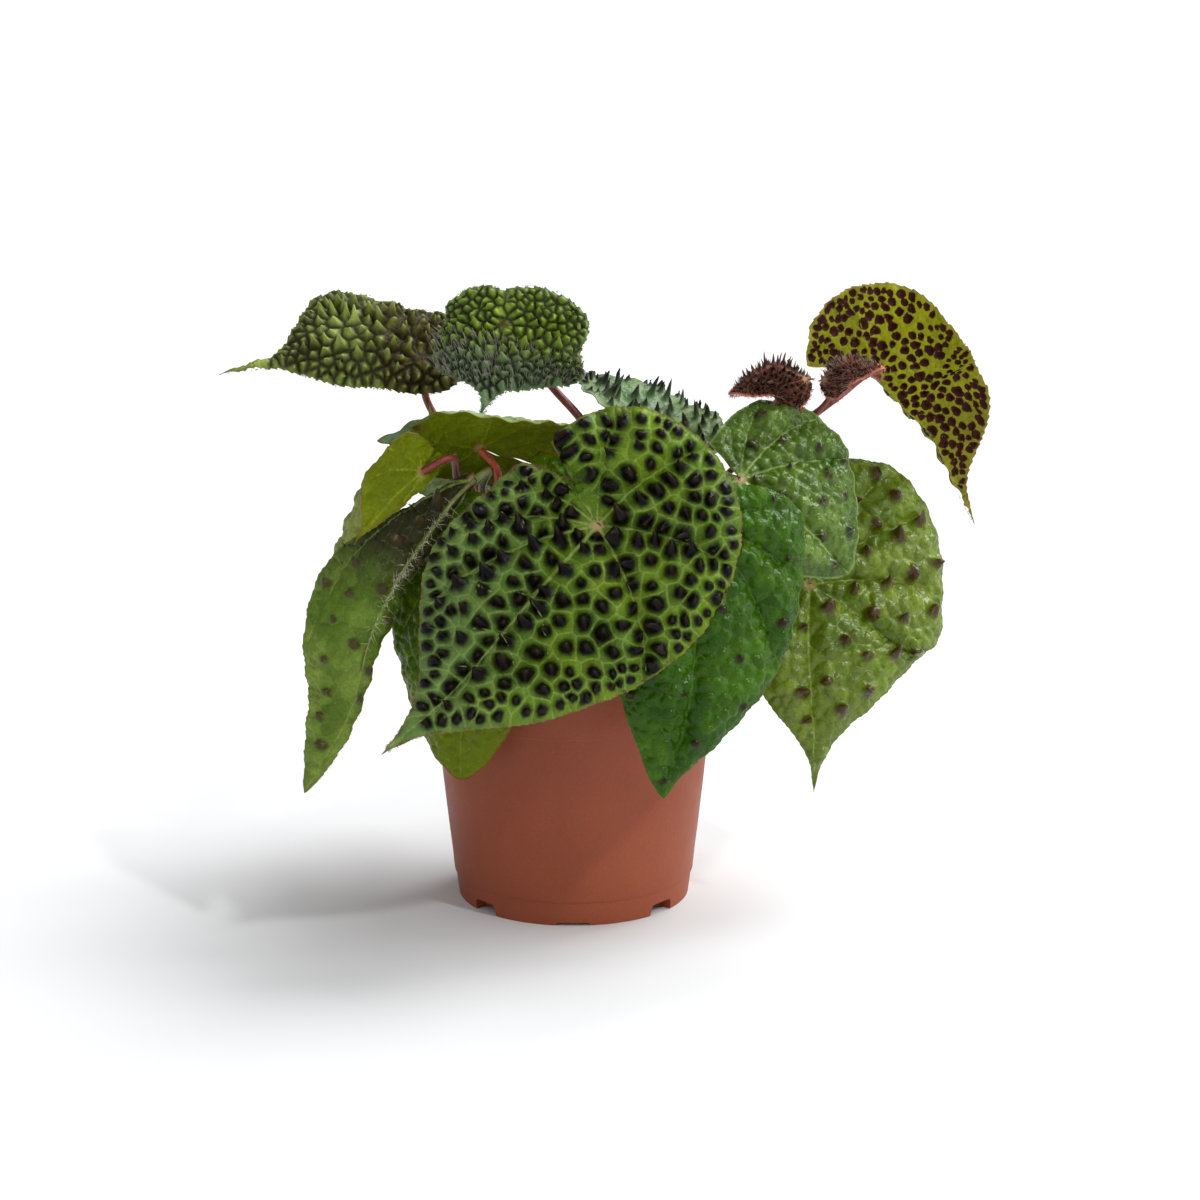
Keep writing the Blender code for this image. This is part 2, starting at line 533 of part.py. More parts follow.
# ------------------------------------------------------------------- leaves
class Leaf:
    """A lopsided heart-shaped blade laid along a midrib curve in space."""

    def __init__(self, name, shape):
        self.name = name
        curve = spline(shape["midrib"], 181)
        steps = np.linalg.norm(np.diff(curve, axis=0), axis=1)
        self.run = np.concatenate([[0.0], np.cumsum(steps)])
        self.length = float(self.run[-1])
        self.curve = curve
        self.along = unit(np.gradient(curve, axis=0))
        up = np.asarray(shape["up"], float)
        up = up - self.along * (self.along @ up)[:, None]
        self.up = unit(up)
        self.left = np.cross(self.up, self.along)
        self.width = shape["width"]
        self.lobe = shape["lobe"]
        self.fold = np.radians(shape["fold"])
        self.curl = np.radians(shape["curl"])
        self.lobe_curl = float(np.mean(self.curl))
        self.wrap = math.radians(shape.get("wrap", 0))
        self.close = np.radians(shape.get("close", (0, 0)))
        self.blunt = shape.get("blunt", (0, 0))
        self.humped = shape.get("humped", (False, False))
        self.neck = shape.get("neck", (0, 0))
        self.arrive = shape.get("arrive", (0.75, 0.65))
        self.seat = shape.get("seat", 0.0006)
        self.detail = shape.get("detail", 1)
        self.colour = shape["colour"]

    def outline(self, side, count):
        """Edge of one side in flat leaf coordinates, tip first."""
        k = 0 if side > 0 else 1
        other = SIDE_BLUNT if self.blunt[k] >= 0 else SIDE_TAILED
        if self.humped[k]:
            other = SIDE_HUMPED
        b = abs(self.blunt[k])
        points = []
        for (x0, y0), (x1, y1) in zip(SIDE_POINTED, other):
            points.append(((x0 + (x1 - x0) * b) * self.length, (y0 + (y1 - y0) * b) * self.width[k]))
        hidden = 2 if self.lobe[k] < NO_LOBE else 0
        for x, y in LOBE[hidden:]:
            points.append((x * self.lobe[k], y * self.width[k]))
        edge = spline(points, count)
        edge[:, 1] = np.maximum(edge[:, 1], 0.0)
        edge[:, 1] *= 1 - self.neck[k] * (1 - smoothstep(edge[:, 0] / (NECK_END * self.length)))
        radius = np.hypot(edge[:, 0], edge[:, 1])
        angle = np.arctan2(edge[:, 1], edge[:, 0])
        behind = smoothstep((angle - math.radians(60)) / math.radians(120))
        angle = angle + (self.wrap * side + self.close[k]) * behind
        return np.column_stack([radius * np.cos(angle), radius * np.sin(angle)])

    def place(self, x, y, side):
        """World point of flat leaf coordinates: x along the midrib, y off it."""
        k = 0 if side > 0 else 1
        index = np.interp(np.clip(x, 0, self.length), self.run, np.arange(len(self.run)))
        low = min(int(index), len(self.run) - 2)
        mix = index - low
        centre = self.curve[low] * (1 - mix) + self.curve[low + 1] * mix
        along = unit(self.along[low] * (1 - mix) + self.along[low + 1] * mix)
        up = unit(self.up[low] * (1 - mix) + self.up[low + 1] * mix)
        left = unit(self.left[low] * (1 - mix) + self.left[low + 1] * mix)
        back = max(-x, 0.0)
        centre = centre - along * back
        f = float(smoothstep(back / max(*self.lobe, 0.4 * max(self.width))))
        width = self.width[k] * (1 - f) + max(self.width) * f
        fold = self.fold[k] * (1 - f) + float(np.mean(self.fold)) * f
        fold = fold * float(smoothstep((1 - x / self.length) / FOLD_END))
        curl = self.curl[k] * (1 - f) + self.lobe_curl * f
        if abs(curl) < 1e-4:
            curl = 1e-4
        turn = fold + curl * y / width
        across = width / curl * (math.sin(turn) - math.sin(fold))
        drop = width / curl * (math.cos(fold) - math.cos(turn))
        return centre + left * side * across - up * drop

    def stalk_seat(self):
        """Where the stalk ends just under the blade, and its direction there."""
        arrive = unit(self.up[0] * self.arrive[0] + self.along[0] * self.arrive[1])
        seat = self.curve[0] - self.up[0] * (LEAF_THICKNESS / 2 + GAP) - arrive * self.seat
        return seat, arrive

    def blade(self):
        spokes, rings = [(11, 3), (15, 4), (19, 4)][self.detail]
        bm = bmesh.new()
        shared = {}

        def vertex(x, y, side):
            near_stalk = math.hypot(x, y) < NEAR_STALK
            if abs(y) < 1e-7 or near_stalk:
                key = 0 if near_stalk else round(max(x, 0.0) * 1e6)
                if key not in shared:
                    shared[key] = bm.verts.new(self.place(key * 1e-6, 0.0, side))
                return shared[key]
            return bm.verts.new(self.place(x, y, side))

        for side in (1, -1):
            edge = self.outline(side, spokes)
            spine = self.length * np.clip(1 - np.linspace(0, 1, spokes) / SPINE_END, 0, 1) ** SPINE_EASE
            grid = []
            for i in range(spokes):
                row = []
                for j in range(rings):
                    s = j / (rings - 1)
                    x = spine[i] * (1 - s) + edge[i, 0] * s
                    y = 0.0 if i == 0 else edge[i, 1] * s
                    row.append(vertex(x, y, side))
                grid.append(row)
            for i in range(spokes - 1):
                for j in range(rings - 1):
                    corners = [grid[i][j], grid[i + 1][j], grid[i + 1][j + 1], grid[i][j + 1]]
                    unique = []
                    for vert in corners:
                        if vert not in unique:
                            unique.append(vert)
                    if len(unique) > 2:
                        if side < 0:
                            unique.reverse()
                        bm.faces.new(unique)
        obj = add_sheet(self.name, bm, material(self.name + "_blade", self.colour, 0.5))
        solid = obj.modifiers.new("thickness", "SOLIDIFY")
        solid.thickness = LEAF_THICKNESS
        solid.offset = 0.0
        return obj


def add_sheet(name, bm, mat):
    mesh = bpy.data.meshes.new(name)
    bm.to_mesh(mesh)
    bm.free()
    mesh.materials.append(mat)
    mesh.shade_smooth()
    obj = bpy.data.objects.new(name, mesh)
    bpy.context.scene.collection.objects.link(obj)
    return obj


def main():
    clear_scene()
    make_pot()
    make_soil()
    make_rhizome()
    for name, shape in LEAVES.items():
        Leaf(name, shape).blade()
    for name, shape in PETIOLES.items():
        make_petiole(name, shape)
    make_side_shoot()
    for name, shape in STIPULES.items():
        make_stipule(name, *shape)


main()
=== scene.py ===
"""Looks of the potted begonia: studded leaf blades, hairy stalks, soil and pot.

Metres, +Z up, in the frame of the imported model. Every blade is drawn flat
(x along its midrib from the stalk, s to its left), divided into the cells of
its vein net, and then laid along the same midrib curve as the model's blade.
"""
import math
from itertools import product

import bmesh
import bpy
import numpy as np
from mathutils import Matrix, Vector
from mathutils.geometry import delaunay_2d_cdt


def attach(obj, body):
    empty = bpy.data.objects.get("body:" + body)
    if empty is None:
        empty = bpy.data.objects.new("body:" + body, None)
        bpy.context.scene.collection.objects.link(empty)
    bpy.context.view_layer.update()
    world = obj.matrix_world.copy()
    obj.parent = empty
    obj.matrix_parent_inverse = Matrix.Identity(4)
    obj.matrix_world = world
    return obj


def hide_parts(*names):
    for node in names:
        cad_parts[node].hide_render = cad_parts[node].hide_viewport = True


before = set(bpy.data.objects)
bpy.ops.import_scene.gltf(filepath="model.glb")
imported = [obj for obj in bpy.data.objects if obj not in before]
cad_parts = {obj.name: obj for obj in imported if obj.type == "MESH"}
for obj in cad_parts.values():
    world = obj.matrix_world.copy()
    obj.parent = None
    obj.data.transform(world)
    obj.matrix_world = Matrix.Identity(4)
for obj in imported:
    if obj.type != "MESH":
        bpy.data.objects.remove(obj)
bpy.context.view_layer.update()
MM = 0.001

# ------------------------------------------------------------ leaf outlines
# One side of the leaf outline: (share of length from the stalk, share of width).
SIDE_POINTED = [
    (1.00, 0.000), (0.93, 0.035), (0.85, 0.10), (0.74, 0.27),
    (0.58, 0.58), (0.40, 0.83), (0.22, 0.96), (0.04, 1.00),
]
SIDE_TAILED = [
    (1.00, 0.00), (0.88, 0.03), (0.76, 0.07), (0.66, 0.18),
    (0.57, 0.46), (0.44, 0.82), (0.25, 0.98), (0.04, 1.00),
]
SIDE_BLUNT = [
    (1.00, 0.00), (0.985, 0.12), (0.93, 0.30), (0.83, 0.50),
    (0.68, 0.72), (0.48, 0.90), (0.26, 0.99), (0.04, 1.00),
]
SIDE_HUMPED = [
    (1.00, 0.00), (0.88, 0.04), (0.77, 0.08), (0.67, 0.20),
    (0.57, 0.55), (0.47, 0.86), (0.30, 1.00), (0.04, 0.90),
]
# The lobe behind the stalk: (share of lobe length, share of width).
LOBE = [(-0.42, 0.94), (-0.80, 0.74), (-1.00, 0.46), (-0.98, 0.10)]
NO_LOBE = 0.002
LEAF_THICKNESS = 0.0009      # of the model's plain blades, which the stalks meet
MARGIN_STEP = 0.35 * MM
TOOTH_PITCH = 3.4 * MM

# Each leaf: stalk end, midrib points and tip; up is the direction its upper
# face looks; width and lobe are (left, right) seen from above with the tip
# ahead; fold and curl are degrees that each side drops at and beyond the
# midrib; wrap turns the notch to one side and close turns both lobes into it;
# neck narrows the base of a side; arrive and seat say how the stalk meets it;
# zone is a band that is tinted or has taller spikes (across length, across
# width, from, to); sway leans the spikes. look names its finish. A leaf has
# PLAIN_LEAF's value where it gives none.
PLAIN_LEAF = dict(
    fold=(5, 5), curl=(20, 20), wrap=0, close=(0, 0), blunt=(0, 0), humped=(False, False), neck=(0, 0),
    arrive=(0.75, 0.65), seat=0.0006, zone=(0, 0, 1, 2), zone_spike=1.0, tint=((0, 0, 0), 0.0),
    sway=(0.0, 0.0, 0.35),
)
LEAVES = {
    "leaf_front_large": dict(
        midrib=[(0.010, -0.080, 0.175), (-0.016, -0.092, 0.148), (-0.045, -0.105, 0.116),
                (-0.073, -0.115, 0.093)], up=(0.10, -0.85, 0.50), width=(0.058, 0.054),
        lobe=(0.040, 0.014), neck=(0, 0.20), curl=(15, 20), wrap=50, close=(29, 14),
        # Its zone tint, grey-green toward the tip and over the right half, is painted sheen.
        zone=(0.9, -0.7, 0.10, 0.85), tint=((100, 124, 80), 0.55), sway=(-0.30, 0.0, 0.45), look="studded"),
    "leaf_front_right": dict(
        midrib=[(0.050, -0.070, 0.1735), (0.049, -0.079, 0.1375), (0.045, -0.085, 0.1025),
                (0.036, -0.089, 0.067)], up=(0.20, -0.85, 0.40), width=(0.048, 0.040), lobe=(0.016, 0.014),
        neck=(0, 0.30), curl=(20, 25), blunt=(0.25, 0.80), look="dark_glossy"),
    "leaf_front_left": dict(
        midrib=[(-0.0275, -0.044, 0.169), (-0.037, -0.056, 0.145), (-0.043, -0.066, 0.108),
                (-0.045, -0.060, 0.066)], up=(-0.30, -0.90, 0.30), width=(0.034, 0.040),
        lobe=(0.032, 0.008), blunt=(1.0, 1.0), zone=(1.0, 0.0, 0.55, 0.85), tint=((104, 116, 2), 0.7),
        look="deep_glossy"),
    "leaf_right_upper": dict(
        midrib=[(0.0675, -0.031, 0.1825), (0.090, -0.038, 0.166), (0.111, -0.032, 0.144)],
        up=(0.15, -0.85, 0.55), width=(0.047, 0.024), lobe=(0.020, 0.018), curl=(12, 30), blunt=(1, 0.9),
        look="mid_glossy"),
    "leaf_right_lower": dict(
        midrib=[(0.096, -0.020, 0.136), (0.095, -0.032, 0.112), (0.097, -0.038, 0.085),
                (0.098, -0.038, 0.054)], up=(0.15, -0.90, 0.40), width=(0.057, 0.028), lobe=(0.058, 0.020),
        neck=(-0.08, 0), curl=(15, 20), wrap=-8, blunt=(-0.35, -0.2), look="sparse"),
    "leaf_right_top": dict(
        midrib=[(0.125, 0.018, 0.215), (0.135, 0.020, 0.202), (0.150, 0.022, 0.185),
                (0.167, 0.024, 0.151)], up=(0.15, 0.98, 0.10), width=(0.012, 0.038), lobe=(0.008, 0.033),
        fold=(-70, 0), curl=(0, 10), wrap=-48, blunt=(0, -0.6), zone=(1.0, -0.25, 0.35, 1.0),
        tint=((132, 112, 54), 0.6), look="pitted"),
    "leaf_left_hanging": dict(
        midrib=[(-0.0390, -0.042, 0.185), (-0.0490, -0.0485, 0.1755), (-0.0675, -0.061, 0.151),
                (-0.0800, -0.070, 0.126), (-0.0876, -0.075, 0.098), (-0.1060, -0.078, 0.066)],
        up=(-0.20, -0.90, 0.30), width=(0.009, 0.036), lobe=(0.001, 0.001), neck=(0.5, 0.85), fold=(65, 0),
        # Its dark zone tint over the base is partly the colour of its black spikes and partly painted shade.
        curl=(0, 15), blunt=(1, 0.7), arrive=(0.5, 0.86), seat=0.0022, zone=(-1.0, 0.0, -0.46, -0.26),
        tint=((42, 36, 22), 0.95), zone_spike=2.4, look="hanging"),
    "leaf_left_top": dict(
        midrib=[(-0.063, 0.026, 0.221), (-0.081, 0.023, 0.224), (-0.104, 0.020, 0.222),
                (-0.145, 0.014, 0.217)], up=(-0.10, -0.70, 0.70), width=(0.0155, 0.043),
        lobe=(0.018, 0.018), neck=(0, 0.25), fold=(8, 5), curl=(35, 20), wrap=8, close=(6, 8),
        blunt=(-0.8, 1), humped=(False, True), zone=(-1.0, 0.0, -0.35, -0.05), tint=((92, 80, 32), 0.8),
        sway=(-0.15, 0.0, 0.50), look="bullate"),
    "leaf_top_middle": dict(
        midrib=[(-0.028, 0.006, 0.238), (-0.031, 0.000, 0.228), (-0.033, -0.008, 0.216),
                (-0.037, -0.016, 0.205)], up=(0.0, -0.65, 0.75), width=(0.0375, 0.030),
        lobe=(0.016, 0.016), curl=(26, 30), wrap=14, close=(15, 15), blunt=(1, 0.6), humped=(True, True),
        zone=(1.0, 0.0, 0.15, 0.45), tint=((116, 142, 116), 0.7), zone_spike=1.3, look="bristly"),
    "leaf_back_middle": dict(
        midrib=[(0.028, 0.030, 0.197), (0.016, 0.042, 0.203), (0.002, 0.056, 0.210)],
        up=(0.10, -0.50, 0.85), width=(0.032, 0.030), lobe=(0.036, 0.042), fold=(-40, 5), curl=(5, 25),
        wrap=-30, look="spiked"),
    "leaf_left_umbrella": dict(
        midrib=[(-0.037, -0.030, 0.195), (-0.055, -0.038, 0.199), (-0.077, -0.048, 0.202)],
        up=(0.0, 0.75, 0.66), width=(0.036, 0.020), lobe=(0.042, 0.034), fold=(-15, 5), curl=(60, 10),
        wrap=12, close=(1.5, 4.5), blunt=(0.3, 0.3), zone=(1.0, 0.1, 0.62, 0.85),
        tint=((148, 174, 136), 0.9), look="olive"),
    "leaf_left_olive": dict(
        midrib=[(-0.0590, -0.054, 0.191), (-0.0700, -0.062, 0.182), (-0.0850, -0.070, 0.165)],
        up=(-0.10, 0.95, 0.20), width=(0.020, 0.006), lobe=(0.010, 0.010), fold=(5, 15), curl=(10, 50),
        wrap=-15, arrive=(0.55, 0.83), seat=0.0012, look="olive"),
    "leaf_left_small": dict(
        midrib=[(-0.051, -0.002, 0.178), (-0.056, -0.005, 0.191), (-0.058, -0.003, 0.208)],
        up=(0.0, -0.98, 0.10), width=(0.016, 0.018), lobe=(0.010, 0.010), blunt=(-0.8, -0.8), look="olive"),
    "leaf_left_thin": dict(
        midrib=[(-0.086, 0.010, 0.166), (-0.095, 0.012, 0.145), (-0.103, 0.012, 0.126)],
        up=(-0.80, -0.45, 0.50), width=(0.010, 0.014), lobe=(0.006, 0.006), look="pale"),
    "leaf_young_large": dict(
        midrib=[(0.0945, -0.004, 0.2185), (0.080, -0.006, 0.223), (0.063, -0.008, 0.212)],
        up=(0.0, -0.50, 0.85), width=(0.015, 0.012), lobe=(0.003, 0.003), fold=(30, 25), curl=(50, 60),
        blunt=(0.6, 0.6), arrive=(0.90, 0.44), seat=0.0010, look="young"),
    "leaf_young_small": dict(
        midrib=[(0.1015, -0.002, 0.218), (0.110, -0.006, 0.225), (0.126, -0.010, 0.223)],
        up=(0.0, -0.50, 0.85), width=(0.010, 0.011), lobe=(0.003, 0.003), fold=(25, 30), curl=(40, 40),
        blunt=(0.5, 0.5), arrive=(0.90, 0.44), seat=0.0010, look="young"),
    "leaf_back_left": dict(
        midrib=[(-0.036, 0.054, 0.158), (-0.046, 0.080, 0.148), (-0.060, 0.112, 0.105)],
        up=(-0.10, 0.20, 1.00), width=(0.034, 0.032), lobe=(0.020, 0.020), fold=(8, 8), curl=(35, 35),
        look="back_studded"),
    "leaf_back_right": dict(
        midrib=[(0.026, 0.058, 0.163), (0.036, 0.086, 0.150), (0.044, 0.118, 0.100)],
        up=(0.10, 0.20, 1.00), width=(0.032, 0.040), lobe=(0.020, 0.022), fold=(8, 8), curl=(35, 35),
        look="back_studded"),
    "leaf_back_far_right": dict(
        midrib=[(0.080, 0.032, 0.138), (0.101, 0.046, 0.130), (0.122, 0.062, 0.094)],
        up=(0.30, 0.20, 1.00), width=(0.028, 0.032), lobe=(0.016, 0.018), fold=(8, 8), curl=(35, 35),
        look="back_glossy"),
    "leaf_back_far_left": dict(
        midrib=[(-0.066, 0.034, 0.130), (-0.084, 0.046, 0.124), (-0.098, 0.062, 0.090)],
        up=(-0.30, 0.20, 1.00), width=(0.026, 0.026), lobe=(0.014, 0.014), fold=(8, 8), curl=(35, 35),
        look="back_glossy"),
}

# Hairs along margins: how many, length and thickness in mm, colour.
FRINGES = {
    "leaf_front_large": (900, 1.7, 0.16, (140, 92, 64)),
    "leaf_right_upper": (300, 1.0, 0.10, (150, 150, 96)),
    "leaf_right_top": (360, 1.2, 0.12, (150, 128, 78)),
    "leaf_left_hanging": (300, 1.2, 0.10, (150, 132, 100)),
    "leaf_left_top": (300, 1.5, 0.16, (118, 124, 74)),
    "leaf_top_middle": (360, 1.8, 0.16, (108, 112, 96)),
    "leaf_young_large": (520, 2.2, 0.12, (206, 134, 116)),
    "leaf_young_small": (420, 2.2, 0.12, (206, 134, 116)),
}

# Thin upright bristles: how many, from and to which share of the midrib,
# length and thickness in mm, lean, colour.
BRISTLES = {
    "leaf_top_middle": (460, 0.12, 0.66, 7.5, 0.34, (0.0, -0.1, 0.5), (168, 162, 152)),
    "leaf_left_hanging": (60, 0.10, 0.40, 5.0, 0.45, (-0.4, 0.0, 0.4), (40, 34, 28)),
    "leaf_young_large": (420, 0.0, 0.97, 4.4, 0.15, (0.15, -0.3, 0.35), (178, 142, 128)),
    "leaf_young_small": (340, 0.0, 0.97, 4.4, 0.15, (-0.45, -0.3, 0.30), (178, 142, 128)),
}

# Material slot of each look.
BLADE_SLOTS = {
    **dict.fromkeys(("studded", "bullate", "bristly", "spiked", "hanging", "back_studded"), "studded_blade"),
    **dict.fromkeys(("dark_glossy", "deep_glossy", "mid_glossy", "sparse", "back_glossy"), "green_blade"),
    **dict.fromkeys(("pitted", "olive", "pale"), "blade_underside"), "young": "young_blade",
}

# Finish of each kind of blade. Lengths in mm: step between mesh points, cell
# spacing; dome and spike are heights over the cell's radius; share is how
# many cells carry a cone; quilt, wave, ripple and groove are how far the blade
# bulges and sinks; peaks are the large cones (apart, reach, height); colours
# are sRGB values of 0 to 255. A look has PLAIN_LOOK's value where it gives none.
PLAIN_LOOK = dict(
    spread=0.35, margin=0.30, dome=0.50, point=2.2, spike=0.30, share=0.0, foot=0.30, fade=3.0, low=0.7,
    high=1.2, swing=0.0, lean=0.12, tooth=0.5, ruffle=0.6, wave=0.6, ripple=0.12, groove=0.35, bold=1.0,
    net_width=0.3, net_share=0.6, ring=(40, 56, 20), ring_to=0.34, ring_share=0.6, dark_from=0.16,
    dark_to=0.52, pit=(84, 36, 40), pit_from=0.16, pit_to=0.34, rough_edge=0.26, uneven=0.16,
    rim_share=0.7, hub=(196, 156, 118), rough=0.5, shine=0.12, fine=0.10,
)
LOOKS = {
    "studded": dict(
        step=0.72, cell=8.6, spread=0.34, margin=0.46, spike=0.85, share=1.0, foot=0.25, quilt=3.6,
        bold=1.6, green=(100, 126, 26), green2=(86, 116, 32), net=(150, 170, 92), net_width=0.55,
        # tip, a lighter brown at the cone apex, is a painted highlight.
        net_share=0.5, cone=(10, 6, 6), tip=(34, 27, 15), ring=(34, 46, 14), ring_to=0.36, ring_share=0.7,
        dark_from=0.2, dark_to=0.5, under=(104, 112, 40), rough_edge=0.32, rim=(122, 104, 58),
        rim_share=0.4, rough=0.3, shine=0.09, fine=0.08),
    "dark_glossy": dict(
        step=0.9, cell=6.0, tooth=0.4, quilt=3.8, wave=1.4, ripple=0.34, groove=0.2, bold=1.3,
        peaks=(18, 2.6, 2.4), green=(40, 76, 0), green2=(58, 96, 2), net=(86, 122, 26), net_share=0.25,
        cone=(40, 18, 14), under=(104, 118, 44), rim=(72, 96, 30), rough=0.17, shine=0.17),
    "deep_glossy": dict(
        step=1.0, cell=6.0, dome=0.55, tooth=0.4, ruffle=0.4, quilt=2.4, wave=1.6, ripple=0.3, groove=0.1,
        bold=1.7, green=(62, 92, 4), green2=(74, 100, 4), net=(128, 146, 30), cone=(52, 24, 26),
        under=(112, 122, 44), rim=(120, 62, 20), rim_share=0.85, rough=0.2),
    "mid_glossy": dict(
        step=0.8, cell=5.6, tooth=0.3, ruffle=0.5, quilt=3.8, wave=1.2, ripple=0.34, groove=0.05, bold=1.6,
        peaks=(12, 3.2, 2.2), green=(82, 110, 26), green2=(62, 92, 14), net=(156, 180, 100),
        net_share=0.22, cone=(46, 34, 14), under=(118, 128, 54), rim=(120, 144, 76), rough=0.2, shine=0.34,
        fine=0.12),
    "sparse": dict(
        step=0.9, cell=6.2, tooth=0.4, ruffle=0.5, quilt=3.6, wave=1.2, ripple=0.3, groove=0.1, bold=1.3,
        peaks=(11.5, 4.0, 5.0), green=(90, 112, 18), green2=(104, 124, 28), net=(136, 162, 66),
        net_width=0.35, net_share=0.25, cone=(58, 24, 12), under=(118, 128, 54), rim=(96, 110, 44),
        rough=0.22, shine=0.32, fine=0.12),
    "pitted": dict(
        step=0.72, cell=6.0, spread=0.5, margin=0.35, dome=0.30, spike=0.60, share=0.95, tooth=0.7,
        ruffle=0.7, quilt=1.0, wave=1.0, green=(84, 104, 26), green2=(70, 92, 28), net=(150, 156, 26),
        net_width=0.4, cone=(40, 22, 18), under=(148, 150, 18), pit=(54, 18, 8), pit_from=0.08,
        pit_to=0.22, rough_edge=0.7, uneven=0.22, rim=(146, 124, 66), rim_share=0.5, fine=0.2),
    "hanging": dict(
        step=0.8, cell=6.2, dome=0.40, ruffle=0.5, quilt=2.6, wave=1.3, ripple=0.3, bold=1.2,
        peaks=(10.5, 3.0, 2.6), green=(116, 138, 54), green2=(84, 110, 30), net=(132, 156, 78),
        net_share=0.3, cone=(64, 50, 30), under=(104, 118, 54), rim=(100, 116, 50), rough=0.34, shine=0.14),
    "bullate": dict(
        step=0.58, cell=6.4, spread=0.42, dome=1.2, point=1.25, spike=1.0, share=1.0, foot=0.25, low=0.35,
        high=1.35, swing=0.8, lean=0.32, tooth=0.9, quilt=1.4, wave=1.4, green=(146, 164, 78),
        # The dark net colour is painted shade in the hollows between the domes, and the light green cone
        # colour is painted light on the dome tops.
        green2=(112, 124, 52), net=(30, 22, 8), net_width=2.4, net_share=0.95, cone=(146, 160, 86),
        ring_share=0.0, dark_from=0.42, dark_to=0.9, under=(104, 116, 50), pit=(74, 48, 36),
        rim=(96, 108, 52), hub=(74, 66, 30), fine=0.12),
    "bristly": dict(
        step=0.52, cell=5.4, spread=0.45, dome=1.15, point=1.25, spike=0.8, share=1.0, foot=0.2, low=0.45,
        high=1.4, swing=0.5, lean=0.25, tooth=0.9, quilt=1.4, wave=1.0, green=(132, 156, 50),
        # The dark net colour is painted shade in the hollows between the domes, and the light green cone
        # colour is painted light on the dome tops; the grey zone cones are the bristles' own colour.
        green2=(108, 138, 54), net=(28, 28, 12), net_width=1.7, net_share=0.95, cone=(132, 150, 66),
        zone_cone=(120, 120, 112), ring_share=0.0, dark_from=0.45, dark_to=0.9, under=(104, 116, 50),
        pit=(74, 48, 36), rim=(100, 116, 76), hub=(84, 92, 40), fine=0.12),
    "spiked": dict(
        step=0.80, cell=8.4, spread=0.3, dome=0.18, spike=1.9, share=0.85, foot=0.45, tooth=0.7,
        ruffle=0.5, quilt=1.0, green=(104, 128, 72), green2=(92, 120, 80), net=(116, 138, 86),
        net_width=0.4, cone=(36, 34, 26), ring_share=0.2, dark_from=0.35, dark_to=0.8,
        under=(112, 124, 54), pit=(84, 50, 44), rim=(92, 110, 70), rough=0.4, shine=0.25, fine=0.15),
    "olive": dict(
        step=0.85, cell=5.4, spread=0.18, dome=0.22, share=0.05, ruffle=0.5, quilt=1.0, wave=1.2, bold=0.8,
        green=(118, 142, 84), green2=(132, 152, 104), net=(140, 148, 34), net_width=0.4, cone=(70, 60, 50),
        under=(110, 124, 2), pit=(110, 84, 14), rim=(112, 96, 24), fine=0.15),
    "pale": dict(
        step=0.65, cell=3.6, spread=0.18, dome=0.25, share=0.1, tooth=0.6, quilt=0.6, green=(124, 136, 60),
        green2=(132, 142, 70), net=(150, 158, 88), net_width=0.4, cone=(90, 80, 60), under=(126, 134, 56),
        pit=(110, 100, 60), rim=(132, 124, 66), fine=0.2),
    "young": dict(
        step=0.42, cell=2.3, spread=0.18, dome=0.80, spike=3.4, share=1.0, foot=0.5, tooth=0.6, ruffle=0.4,
        quilt=0.5, green=(104, 48, 38), green2=(78, 38, 28), net=(150, 88, 72), net_width=0.25,
        cone=(26, 12, 10), tip=(120, 92, 84), under=(140, 76, 54), pit=(84, 36, 36), rim=(214, 130, 108),
        rim_share=0.9, rough=0.45, shine=0.14),
    "back_studded": dict(
        step=1.1, cell=7.8, spread=0.3, margin=0.45, dome=0.40, spike=0.95, share=0.9, tooth=0.7,
        ruffle=0.9, quilt=2.4, green=(88, 110, 24), green2=(72, 98, 30), net=(128, 150, 66), net_width=0.4,
        cone=(14, 8, 8), under=(108, 116, 46), rim=(112, 92, 56), rough=0.36, shine=0.1),
    "back_glossy": dict(
        step=1.1, cell=6.4, spread=0.3, dome=0.40, ruffle=0.9, quilt=2.4, wave=1.2, ripple=0.3,
        groove=0.15, bold=1.3, peaks=(14, 3.2, 3.2), green=(54, 88, 8), green2=(68, 102, 14),
        net=(110, 140, 50), net_share=0.3, cone=(50, 28, 22), under=(112, 122, 50), rim=(88, 108, 42),
        rough=0.26, shine=0.18),
}

# ------------------------------------------------------------- pot and soil
POT_HEIGHT = 0.105
POT_WALL = 0.0013
POT_SIDES = 176
RIM_RADIUS = 0.060
COLLAR_Z = 0.0815
COLLAR_STEP = 0.0007
FLOOR_TOP = 0.0047
CENTRE_DISC = 0.028
CHANNEL_DEPTH = 0.0025
CHANNEL_INNER = 0.0295
CHANNEL_OUTER = 0.0425
FOOT_INNER = 0.0432
FOOT_OUTER = 0.0465
FOOT_ARCH_AZIMUTH = 49.0     # degrees from the front and back
FOOT_ARCH_WIDTH = 0.0135
FOOT_ARCH_HEIGHT = 0.005
FOOT_SLOT_WIDTH = 0.014
FOOT_SLOT_HEIGHT = 0.0013
HOLE_RADIUS = 0.0033
HOLE_CIRCLE = 0.036
HOLE_COUNT = 8

# Outer radius of the pot at each height below the collar.
POT_OUTSIDE = [
    (0.0000, 0.0476), (0.0004, 0.0479), (0.0040, 0.0484), (0.0098, 0.0491), (0.0104, 0.0496),
    (0.0110, 0.0498), (0.0200, 0.0507), (0.0300, 0.0519), (0.0400, 0.0530), (0.0500, 0.0541),
    (0.0600, 0.0551), (0.0700, 0.0561), (0.0808, 0.0572),
]

